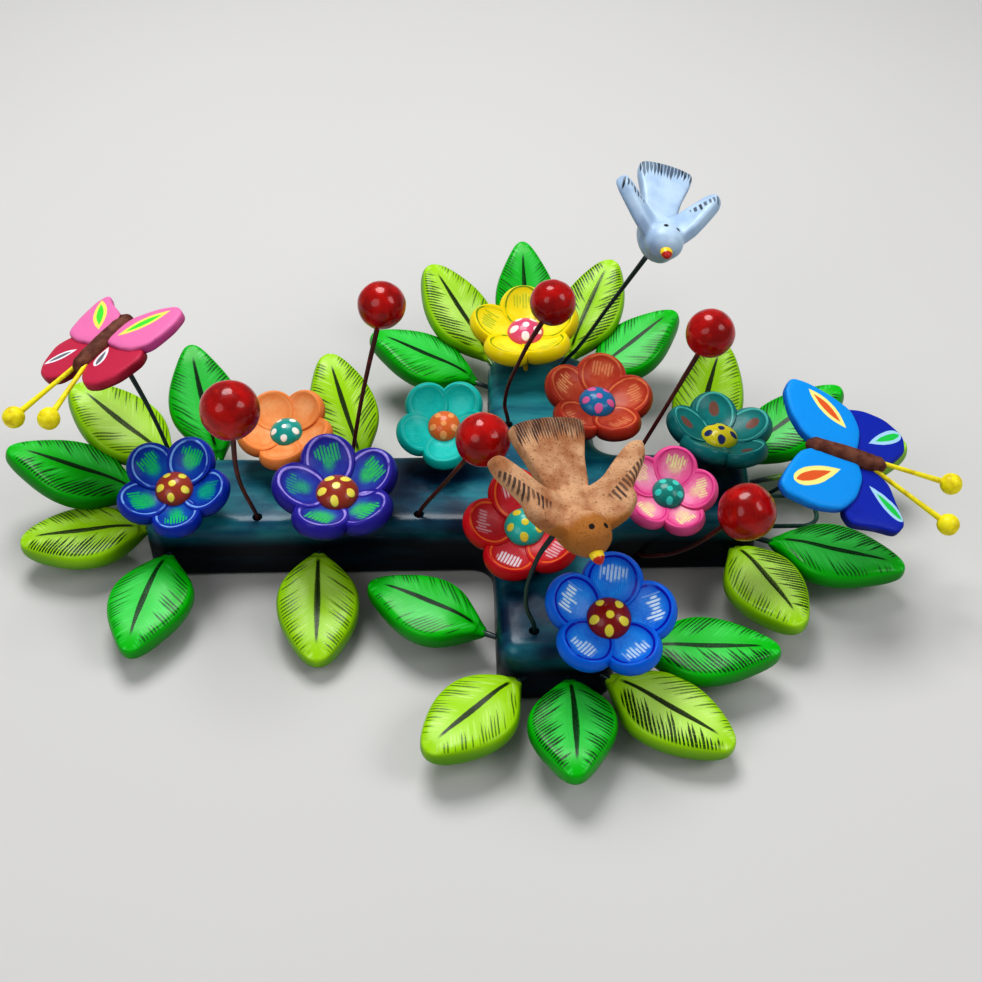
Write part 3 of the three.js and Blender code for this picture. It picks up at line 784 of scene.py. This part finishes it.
bpy.ops.mesh.primitive_uv_sphere_add(segments=24, ring_count=16, radius=HEART)
heart = bpy.context.object
work_in("EDIT")
pick(heart, "VERT", lambda p: p.z > 0.5 * HEART)
swell(1.06, 1.06, 0.93, (0, 0, 0.5 * HEART))
pick(heart, "VERT", lambda p: p.z < -0.4 * HEART)
swell(0.8, 0.8, 0.75, (0, 0, -0.4 * HEART))
work_in("OBJECT")
work_over(heart, "SUBSURF", levels=1, render_levels=1)
smooth(heart)
remember(heart, HEART, HEART)

for number, (name, root, middle, lean, turn, size) in enumerate(FLOWERS):
    base = Vector(middle) * MM
    foot = Vector((*root, FLOWER_FOOT)) * MM
    face = Matrix.Translation(base) @ aim(lean[0], -lean[1]) @ aim(-lean[0], 0)
    sized = Matrix.Scale(size * MM / 2 / FLOWER_REACH, 4)
    parts = []
    for i in range(PETALS):
        nudge = math.sin(7.1 * i + 3.3 * number)
        leaning = aim(turn + 360 / PETALS * i + 2.5 * nudge, PETAL_CUP + 3 * math.cos(5.3 * i + number))
        part = another(petal)
        number_it(part, PETALS * number + i)
        coat(part, 0, PETAL_PAINTS[name])
        grown = Matrix.Diagonal((1 + 0.02 * nudge, 1 - 0.03 * nudge, 1, 1))
        part.data.transform(Matrix.Translation((PETAL_AT * FLOWER_REACH, 0, 0)) @ grown)
        part.data.transform(face @ leaning @ sized)
        parts.append(part)
    dome = another(heart)
    coat(dome, 1, PETAL_PAINTS[name], HEART_PAINTS[name])
    dome.data.transform(face @ sized @ shift(0, 0, HEART_RAISED))
    reach = (base - foot).length
    stem = rod(reach, FLOWER_BED, reach - FLOWER_COLLAR, FLOWER_FLARE)
    remember(stem, STEM_WIRE, STEM_WIRE)
    coat(stem, 0, PETAL_PAINTS[name])
    stem.data.transform(Matrix.Translation(foot) @ turned_to(base - foot))
    flower = join(parts[0], *parts[1:], dome, stem)
    seat(flower, f"painted_flower_{name}", "root", f"flower_{name}", f"flower_{name}")
bpy.data.objects.remove(petal)
bpy.data.objects.remove(heart)

# ---- the berries -------------------------------------------------------------------------------
# Six clay balls, each rolled by hand and pushed on to a thin bent wire that springs from the front
# or the side of the cross. Both are red under lacquer, the wires darker, and the whole stem sways.
SWAY_WIRE = 0.8 * MM
STRAIGHT = 2.5 * MM
BERRIES = [
    ((-62, 38, 85), 18.5), ((-113, -21, 84), 21.5), ((3, 44, 81), 18), ((-25, -22, 70), 20),
    ((60, 20, 84), 18.5), ((70, -36, 46), 21.5),
]


def bent_wire(route, radius):
    """A wire through the route's points, straight for a little way past its root, as a closed tube."""
    points = [Vector(p) * MM for p in route]
    out = (points[1] - points[0]).normalized()
    if len(points) > 3:
        points.insert(2, points[1] + out * STRAIGHT)
    curve = bpy.data.curves.new("wire", "CURVE")
    curve.dimensions = "3D"
    curve.resolution_u = 8
    curve.bevel_depth = radius
    curve.bevel_resolution = 3
    curve.use_fill_caps = True
    spline = curve.splines.new("BEZIER")
    spline.bezier_points.add(len(points) - 1)
    for point, place in zip(spline.bezier_points, points):
        point.co = place
        point.handle_left_type = "AUTO"
        point.handle_right_type = "AUTO"
    spline.bezier_points[-1].radius = 1.35
    wire = bpy.data.objects.new("wire", curve)
    bpy.context.scene.collection.objects.link(wire)
    take(wire)
    bpy.ops.object.convert(target="MESH")
    wire = bpy.context.object
    work_in("EDIT")
    pick_all()
    bpy.ops.mesh.remove_doubles(threshold=0.001 * MM)
    bpy.ops.mesh.normals_make_consistent(inside=False)
    work_in("OBJECT")
    smooth(wire)
    return wire


berry_paint = Paint("berry_lacquer", Coat_Roughness=0.1, Coat_Weight=0.5, Specular_IOR_Level=0.12)
dabs = berry_paint.noise(120, 4)
orange_peel = berry_paint.noise(800, 3)
strokes = berry_paint.noise(240, 4, stretch=(1.0, 0.5, 0.3))
red = berry_paint.mix("#8c0201", "#b80a03", dabs.fade(0.36, 0.66))
red = berry_paint.mix(red, "#dc3010", strokes.fade(0.6, 0.76) * 0.35)
berry_paint.lay(Base_Color=red, Roughness=orange_peel.spread(0.2, 0.36))
berry_paint.bump(dabs * 0.35 + orange_peel * 0.1 + strokes * 0.1, 0.6 * MM, 0.5)
red_wire_paint = wire_paint("red_wire_enamel", "#460e0a", "#6a1c10")

bpy.ops.mesh.primitive_uv_sphere_add(segments=28, ring_count=18, radius=1)
ball = bpy.context.object
work_in("EDIT")
pick(ball, "VERT", lambda p: p.z < -0.94)
swell(0.7, 0.7, 1, (0, 0, -1))
shove(0, 0, -0.06)
pick(ball, "VERT", lambda p: p.z > 0.9)
shove(0, 0, -0.025)
pick(ball, "VERT", lambda p: p.x > 0.75)
shove(-0.02, 0, 0)
work_in("OBJECT")
work_over(ball, "SUBSURF", levels=1, render_levels=1)
rolled = bpy.data.textures.new("rolled_clay", "CLOUDS")
rolled.noise_scale = 0.6
work_over(ball, "DISPLACE", texture=rolled, texture_coords="LOCAL", strength=0.05)
smooth(ball)


def on_wire(piece, route, centre, radius, spin=0.0):
    """Puts a unit ball on the end of a wire, its neck towards the wire."""
    come = (Vector(route[-1]) - Vector(route[-2])).normalized()
    spun = Matrix.Rotation(spin, 4, "Z") @ Matrix.Scale(radius * MM, 4)
    piece.data.transform(shift(*centre) @ turned_to(come) @ spun)


for number, (centre, size) in enumerate(BERRIES, 1):
    body = f"berry_body_{number}"
    route = ROUTES[f"berry_{number}"]
    wire = bent_wire(route, SWAY_WIRE)
    seat(wire, f"berry_{number}_stem", body, f"berry_wire_{number}", "wire_red", red_wire_paint)
    berry = another(ball)
    on_wire(berry, route, centre, size / 2, 1.7 * number)
    seat(berry, f"berry_{number}_ball", body, f"berry_{number}", "berry_red", berry_paint)

# ---- the birds ---------------------------------------------------------------------------------
# Two clay birds hover on dark wires: one left the tan of the raw clay, one painted bluish white.
# Each is one lump with its tail and wings pulled out flat; a fine brush drew the feathers and eyes.
CM = 10 * MM
BIRD_VOXEL = 0.6 * MM
BIRD_UNEVEN = 0.7 * MM
BIRDS = [
    ("tan", (3, -58, 73), (-72, -16, -12), 1.0, (1.0, 1.0, 0.0, 8), 24,
     [(12, 3), (14.5, 9), (12, 17.5), (7, 22.5), (2.5, 22), (-2, 26), (-7, 30.5), (-13, 32), (-14, 27),
      (-9.5, 20), (-4, 13), (-2, 4)]),
    ("white", (46, 80, 90), (-90, 0, -14), 0.96, (1.12, 0.85, 7.5, 14), 40,
     [(13, 3), (15.5, 8), (12.5, 15), (6.5, 21.5), (1, 27), (-4, 28.5), (-6, 24), (-3.5, 16), (-1, 9),
      (-1, 3)]),
]
TAIL = [
    (-2, -8), (-2, 8), (-14, 10), (-24, 13.5), (-29.5, 14), (-31, 8), (-31.5, 0), (-31, -8), (-29.5, -14),
    (-24, -13.5), (-14, -10),
]


def slab(outline, thick, puff):
    """A clay plate: a disc with its edge pulled out to the outline, thickened and puffed up."""
    bpy.ops.mesh.primitive_circle_add(vertices=len(outline), radius=MM, fill_type="NGON")
    plate = bpy.context.object
    starts = [point.co.copy() for point in plate.data.vertices]
    work_in("EDIT")
    for start, (x, y) in zip(starts, outline):
        pick(plate, "VERT", lambda p: (p - start).length < 0.001 * MM)
        shove(x * MM - start.x, y * MM - start.y, 0)
    pick_all()
    pull(0, 0, thick * MM)
    pick_all()
    shove(0, 0, -thick * MM / 2)
    bpy.ops.mesh.normals_make_consistent(inside=False)
    bpy.ops.mesh.subdivide(number_cuts=1)
    for upward in (1, -1):
        pick_side(plate, upward)
        bpy.ops.mesh.inset(thickness=2.2 * MM)
        shove(0, 0, upward * puff * MM)
    work_in("OBJECT")
    work_over(plate, "SUBSURF", levels=2, render_levels=2)
    smooth(plate)
    return plate


def lump(x, y, z, centre):
    """A rounded lump with these half sizes, a little fuller than an egg at its waist."""
    bpy.ops.mesh.primitive_uv_sphere_add(segments=24, ring_count=16, radius=1)
    made = bpy.context.object
    work_in("EDIT")
    pick(made, "VERT", lambda p: abs(p.x) < 0.55)
    bpy.ops.transform.resize(value=(1.1, 1, 1))
    work_in("OBJECT")
    made.data.transform(shift(*centre) @ Matrix.Diagonal((x * MM, y * MM, z * MM, 1)))
    smooth(made)
    return made


def ruler(x, y, start, end):
    """How far a place is along a line and to the right of it, and how long the line is."""
    run = math.hypot(end[0] - start[0], end[1] - start[1])
    step_x = (end[0] - start[0]) / run
    step_y = (end[1] - start[1]) / run
    along = (x - start[0]) * step_x + (y - start[1]) * step_y
    return along, (x - start[0]) * step_y - (y - start[1]) * step_x, run


def feathered(paint, x, y, top, rows, tail_run, slant, wing_from, wing_to, wing_run):
    """Brush strokes at the end of the tail and along both wings. Places are in centimetres."""
    wobble = paint.noise(160, 2) - 0.5
    aside = y + x.least(0.0) * slant
    row = aside / (x * -0.16 + 0.62) * rows + wobble * 0.8
    stroke = row.whole()
    drawn = paint.chance(stroke + 11.0)
    thick = (x * -1.0 - tail_run - drawn * 0.3).fade(0.0, 0.45, 0.0, 0.42)
    tail = (thick - abs(row - stroke - 0.5)).fade(-0.06, 0.08) * x.fade(-1.7, -1.9)
    tail = tail * abs(aside).fade(1.36, 1.24)
    along, inward, run = ruler(x, abs(y), wing_from, wing_to)
    row = along * 5.6 + inward * 1.4 + wobble * 0.7
    stroke = row.whole()
    drawn = paint.chance(stroke + y.fade(-0.01, 0.01) * 23.0)
    reach = inward.fade(0.0, 0.05) * (wing_run + drawn * 0.22 - inward).fade(0.0, 0.12)
    wing = (0.30 - abs(row - stroke - 0.5) - inward * 0.18).fade(-0.08, 0.08) * reach
    wing = wing * along.fade(0.0, 0.1) * along.fade(run, run - 0.2)
    return tail.most(wing) * top.fade(0.15, 0.4) * (0.65 + drawn * 0.35)


def eyes(x, y, top, spot, size):
    """Two round dabs, one on each side of the head."""
    away = (x - spot[0]).far(abs(y) - spot[1])
    return (size - away).fade(-0.02, 0.02) * top.fade(-0.1, 0.1)


tan = Paint("raw_tan_clay", Specular_IOR_Level=0.25)
x, y, top = brushed(tan)
mottle = tan.noise(140, 5)
grit = tan.noise(1900, 3)
pits = tan.noise(1300, 1)
clay = tan.mix("#a46c46", "#d0a27c", mottle.fade(0.32, 0.68))
clay = tan.mix(clay, "#744a28", pits.fade(0.32, 0.25) * 0.6)
clay = tan.mix(clay, "#d0a47c", grit.fade(0.56, 0.78) * 0.45)
clay = tan.mix(clay, "#a86c30", (x + mottle).fade(1.5, 1.85))
feathers = feathered(tan, x, y, top, 10.0, 1.9, 0.0, (0.35, 1.0), (-0.9, 2.9), 0.45)
clay = tan.mix(clay, "#1e1c26", feathers * 0.92)
clay = tan.mix(clay, "#191210", eyes(x, y - 0.1, top, (1.6, 0.28), 0.1))
tan.lay(Base_Color=clay, Roughness=(mottle * 0.4 + x.fade(2.2, 1.2)).fade(0.1, 1.0, 0.5, 0.85))
tan.bump(mottle * 0.5 + grit * 0.2 + pits.fade(0.42, 0.26) * -0.4, 0.5 * MM, 0.9)

white = Paint("bluish_white", Coat_Roughness=0.3, Coat_Weight=0.25, Specular_IOR_Level=0.3)
x, y, top = brushed(white)
mottle = white.noise(90, 3)
grain = white.noise(900, 3)
# The bluish white is lighter where the clay faces up, a painted highlight, and grey-brown where it faces
# down, painted shade.
clay = white.mix("#94b0d2", "#bed6ec", (mottle + top * 0.25).fade(0.4, 0.9))
clay = white.mix(clay, "#a09a94", top.fade(-0.3, -0.9) * 0.6)
feathers = feathered(white, x, y, top, 7.0, 2.2, 0.13, (0.1, 0.9), (-0.3, 2.1), 0.3)
clay = white.mix(clay, "#060c18", feathers)
clay = white.mix(clay, "#080a10", eyes(x, y - 0.12, top, (1.45, 0.27), 0.095))
white.lay(Base_Color=clay, Roughness=grain.spread(0.38, 0.55))
white.bump(mottle * 0.5 + grain * 0.12, 0.5 * MM, 0.6)

beak_paint = Paint("beak_yellow_and_red", Coat_Weight=0.4, Specular_IOR_Level=0.3)
x, y, top = brushed(beak_paint)
dab = beak_paint.noise(500, 2)
beak_paint.lay(
    Base_Color=beak_paint.mix("#f4d41c", "#b8200e", (x + dab * 0.14).fade(2.5, 2.55)),
    Roughness=dab.spread(0.3, 0.5),
)
beak_paint.bump(dab, 0.5 * MM, 0.7)
dark_wire_paint = wire_paint("dark_wire_enamel", "#0a2a28", "#16362c")
BIRD_PAINTS = {"tan": tan, "white": white}

for name, centre, way, size, (drawn_out, fanned, turned, lifted), raised_by, outline in BIRDS:
    trunk = lump(15, 8.5, 7.5, (5, 0, -1))
    head = lump(8.5, 8.1, 7.6, (14.6, 0, 4))
    neck = lump(8, 6.5, 6, (10, 0, 2))
    tail = slab([(a * drawn_out, b * fanned) for a, b in TAIL], 5.6, 0.4)
    tail.data.transform(aim(-turned, -lifted) @ shift(0, 0, 1))
    limbs = []
    for side in (1, -1):
        wing = slab([(a, b * side) for a, b in outline], 5.2, 0.5)
        wing.data.transform(aim(0, 0, side * raised_by))
        limbs.append(wing)
    bird = join(trunk, head, neck, tail, *limbs)
    work_over(bird, "REMESH", mode="VOXEL", voxel_size=BIRD_VOXEL)
    work_over(bird, "SMOOTH", factor=0.5, iterations=5)
    work_over(bird, "DISPLACE", strength=BIRD_UNEVEN, **lumps)
    smooth(bird)
    beak = lump(4.8, 2.6, 2.2, (21.9, 0, 4.2))
    for piece in (bird, beak):
        remember(piece, CM, CM)
    coat(bird, 0, BIRD_PAINTS[name])
    coat(beak, 1, BIRD_PAINTS[name], beak_paint)
    join(bird, beak)
    bird.data.transform(shift(*centre) @ aim(*way) @ Matrix.Scale(size, 4))
    body = f"bird_body_{name}"
    seat(bird, f"clay_bird_{name}", body, f"bird_{name}", f"bird_{name}")
    wire = bent_wire(ROUTES[f"bird_{name}"], SWAY_WIRE)
    seat(wire, f"bird_{name}_stem", body, f"bird_wire_{name}", "wire_dark", dark_wire_paint)

# ---- the butterflies ---------------------------------------------------------------------------
# Each butterfly is four puffed wing plates of clay pressed under a brown body, on a dark wire. Every
# wing has a painted eye spot, and two yellow wires with a ball on the end stand out as feelers.
BUTTERFLIES = [
    ("magenta", "pink", (-165, 26, 76), (-124, -9, 18), [(42, -9), (39, 9)],
     [[(-5, 1), (-14, 3), (-21, 12), (-24, 20), (-21, 25.5), (-13, 27), (-2, 25), (2, 18), (2, 10), (0, 1)],
      [(-3, -1), (-12, -2), (-17, -8), (-21, -17), (-25, -22), (-20, -25), (-10, -25), (-1, -23), (2, -14),
       (2, -1)]],
     [[(0, 1), (8, 0.5), (17, 4), (21, 10), (20, 16), (14, 22), (4, 25), (-2, 22), (-1, 10)],
      [(0, -1), (-1, -12), (-2, -21), (5, -25), (15, -22), (20, -18), (22, -12), (20, -6), (10, -1)]]),
    ("azure", "blue", (106.5, -19.5, 57), (-7, -17, 15), [(42, -15), (43, 3)],
     [[(-12, 0.5), (-18, 4), (-23, 11), (-26, 20), (-24, 26.5), (-17, 26.5), (-8, 24), (1, 20), (5, 12),
       (4, 0.5)],
      [(-12, -0.5), (-18, -4), (-22, -12), (-25, -20), (-22, -24), (-10, -26), (0, -24), (5, -17), (7, -8),
       (4, -0.5)]],
     [[(2, 0.5), (2, 8), (1, 16), (-2, 21), (6, 23), (15, 22), (23, 17), (24, 10), (18, 2), (10, 0.5)],
      [(2, -0.5), (3, -12), (0, -23), (4, -28), (14, -26), (22, -26), (25, -21), (21, -13), (18, -6),
       (10, -0.5)]]),
]
WING_THICK = 4.0
WING_PUFF = 0.6
BEAD = 4.1
FEELER_WIRE = 0.9 * MM


def eye_spot(x, y, root, end, wide, drop):
    """How far inside an eye spot a point is: a lens between two points, or a drop round at its end."""
    along, aside, run = ruler(x, y, root, end)
    along = (along / run).most(0.0).least(1.0)
    belly = along * (1.0 - along) ** 0.5 * 2.6 if drop else along * (1.0 - along) * 4.0
    return belly * wide - abs(aside)


def wing_paint(name, ground, deep, edge, core, spots):
    """Matt poster colour, a little streaky, with one eye spot on each wing."""
    wing = Paint(name, Coat_Roughness=0.35, Coat_Weight=0.12, Specular_IOR_Level=0.15)
    x, y, top = brushed(wing)
    cloud = wing.noise(110, 4)
    grain = wing.noise(1300, 3)
    wobble = wing.noise(300, 2) - 0.5
    # Deep colour where the plate faces away from up is painted shade; random streaky clouds vary it too.
    painted = wing.mix(deep, ground, (top * 0.6 + cloud * 1.1).fade(0.35, 1.05))
    for root, end, wide, drop in spots:
        inside = eye_spot(x, y, root, end, wide, drop) + (wobble - 0.5) * 0.05
        painted = wing.mix(painted, edge, inside.fade(-0.01, 0.02) * top.fade(0.2, 0.4))
        painted = wing.mix(painted, core, inside.fade(wide * 0.42, wide * 0.52) * top.fade(0.2, 0.4))
    wing.lay(Base_Color=painted, Roughness=grain.spread(0.45, 0.65))
    wing.bump(cloud * 0.6 + grain * 0.2, 0.7 * MM, 0.9)
    return wing


WING_PAINTS = {
    "magenta": [
        wing_paint("pink_wings", "#e878b0", "#b84888", "#f0e468", "#4ce03c", [
            ((-0.3, 0.6), (-2.05, 2.0), 0.34, False), ((-0.45, -0.65), (-2.1, -2.25), 0.32, False)]),
        wing_paint("crimson_wings", "#c02c4c", "#7c0c24", "#eef0f4", "#70747c", [
            ((0.1, 0.45), (1.2, 0.8), 0.26, True), ((0.5, -1.0), (1.6, -2.0), 0.24, False)]),
    ],
    "azure": [
        wing_paint("azure_wings", "#0494ea", "#0450b4", "#f4ec8c", "#e0602c", [
            ((-0.1, 1.05), (-1.75, 2.35), 0.32, False), ((-0.2, -0.75), (-2.0, -1.8), 0.40, True)]),
        wing_paint("deep_blue_wings", "#0a28a8", "#04105c", "#a8d4f0", "#20c850", [
            ((0.8, 0.8), (2.15, 1.7), 0.30, True), ((0.9, -0.95), (2.35, -2.05), 0.28, True)]),
    ],
}
body_paint = Paint("brown_body", Specular_IOR_Level=0.25)
rub = body_paint.noise(300, 4)
fine = body_paint.noise(1500, 3)
body_paint.lay(
    Base_Color=body_paint.mix("#54281c", "#744634", rub.fade(0.35, 0.7)),
    Roughness=fine.spread(0.55, 0.75),
)
body_paint.bump(rub * 0.4 + fine * 0.2, 0.4 * MM, 0.8)
feeler_paint = Paint("feeler_yellow", Coat_Weight=0.15, Specular_IOR_Level=0.3)
rub = feeler_paint.noise(260, 4)
fine = feeler_paint.noise(1400, 3)
feeler_paint.lay(
    Base_Color=feeler_paint.mix("#d8c008", "#f6e814", rub.fade(0.3, 0.55)),
    Roughness=fine.spread(0.45, 0.65),
)
feeler_paint.bump(rub * 0.5 + fine * 0.25, 0.6 * MM, 0.8)

for name, slot, centre, way, balls, rear, front in BUTTERFLIES:
    place = shift(*centre) @ aim(*way)
    paints = (body_paint, *WING_PAINTS[name])
    butterfly = lump(17, 3.7, 3.6, (0, 0, 1.6))
    work_in("EDIT")
    for reach, fuller in ((9, 1.12), (13, 1.35)):
        pick(butterfly, "VERT", lambda p: abs(p.x) > reach * MM)
        swell(0.97, fuller, fuller, (0, 0, 1.6 * MM))
    work_in("OBJECT")
    coat(butterfly, 0, *paints)
    parts = [butterfly]
    for worn, outlines, lift in ((1, rear, 0.8), (2, front, -0.9)):
        for outline in outlines:
            plate = slab(outline, WING_THICK, WING_PUFF)
            plate.data.transform(shift(0, 0, lift))
            coat(plate, worn, *paints)
            parts.append(plate)
    for part in parts:
        remember(part, CM, CM)
    join(*parts)
    butterfly.data.transform(place)
    body = f"butterfly_body_{name}"
    seat(butterfly, f"clay_butterfly_{name}", body, f"butterfly_{name}", f"butterfly_{slot}")
    wire = bent_wire(ROUTES[f"butterfly_{name}"], SWAY_WIRE)
    seat(wire, f"butterfly_{name}_stem", body, f"butterfly_wire_{name}", "wire_dark", dark_wire_paint)
    for side, label, end in ((-1, "right", balls[0]), (1, "left", balls[1])):
        start = place @ Vector((10 * MM, side * 1.6 * MM, 1.5 * MM)) / MM
        stop = place @ Vector((end[0] * MM, end[1] * MM, 0)) / MM
        feeler = bent_wire([start, (start + stop) / 2, stop], FEELER_WIRE)
        bead = another(ball)
        on_wire(bead, [start, stop], stop, BEAD, 2.3 * side)
        join(feeler, bead)
        node = f"antenna_{name}_{label}"
        seat(feeler, f"feeler_{name}_{label}", body, node, "antenna_yellow", feeler_paint)
bpy.data.objects.remove(ball)

# ---- floor, light and camera -------------------------------------------------------------------
# The tree lies on a plain pale floor under broad soft lamps, brightest from above and behind. The
# lens looks down on it at a slant from beyond the near side arm.
FLOOR_SIZE = 6.0
bpy.ops.mesh.primitive_plane_add(size=FLOOR_SIZE, location=(0, 0, -0.2 * MM))
floor = bpy.context.object
floor.name = "pale_floor"
work_in("EDIT")
bpy.ops.mesh.subdivide(number_cuts=3)
work_in("OBJECT")
pale = Paint("pale_floor_paint", Roughness=0.9, Specular_IOR_Level=0.1)
pale.lay(Base_Color=pale.mix("#cac9c7", "#d0cfcd", pale.noise(3, 2)))
floor.data.materials.append(pale.material)

world = bpy.data.worlds.new("studio")
bpy.context.scene.world = world
world.use_nodes = True
sky = world.node_tree.nodes["Background"]
sky.inputs["Color"].default_value = (0.94, 0.96, 1.0, 1.0)
sky.inputs["Strength"].default_value = 0.26
LAMPS = [
    ("over_lamp", (-0.15, 0.40, 0.95), 0.55, 7.0),
    ("side_lamp", (0.75, -0.25, 0.80), 0.5, 2.6),
    ("front_lamp", (-0.6, -0.6, 0.75), 0.6, 2.0),
]
for name, spot, size, power in LAMPS:
    bpy.ops.object.light_add(type="AREA", location=spot)
    lamp = bpy.context.object
    lamp.name = name
    lamp.data.shape = "DISK"
    lamp.data.size = size
    lamp.data.energy = power
    lamp.rotation_mode = "QUATERNION"
    lamp.rotation_quaternion = (-Vector(spot)).to_track_quat("-Z", "Y")

bpy.context.scene.view_settings.view_transform = "Standard"
bpy.context.scene.view_settings.look = "Medium High Contrast"
CAMERA_AT = (-33.5 * MM, -409.4 * MM, 415.1 * MM)
CAMERA_AIM = Vector((-20.6, 24.8, 0)) * MM
CAMERA_ROLL = math.radians(0.49)
bpy.ops.object.camera_add(location=CAMERA_AT)
camera = bpy.context.object
camera.name = "camera"
camera.data.sensor_width = 36
camera.data.lens = 53.6
camera.data.clip_start = 0.01
camera.rotation_mode = "QUATERNION"
sight = CAMERA_AIM - camera.location
level = Matrix.Rotation(CAMERA_ROLL, 4, "Z").to_quaternion()
camera.rotation_quaternion = sight.to_track_quat("-Z", "Y") @ level
bpy.context.scene.camera = camera
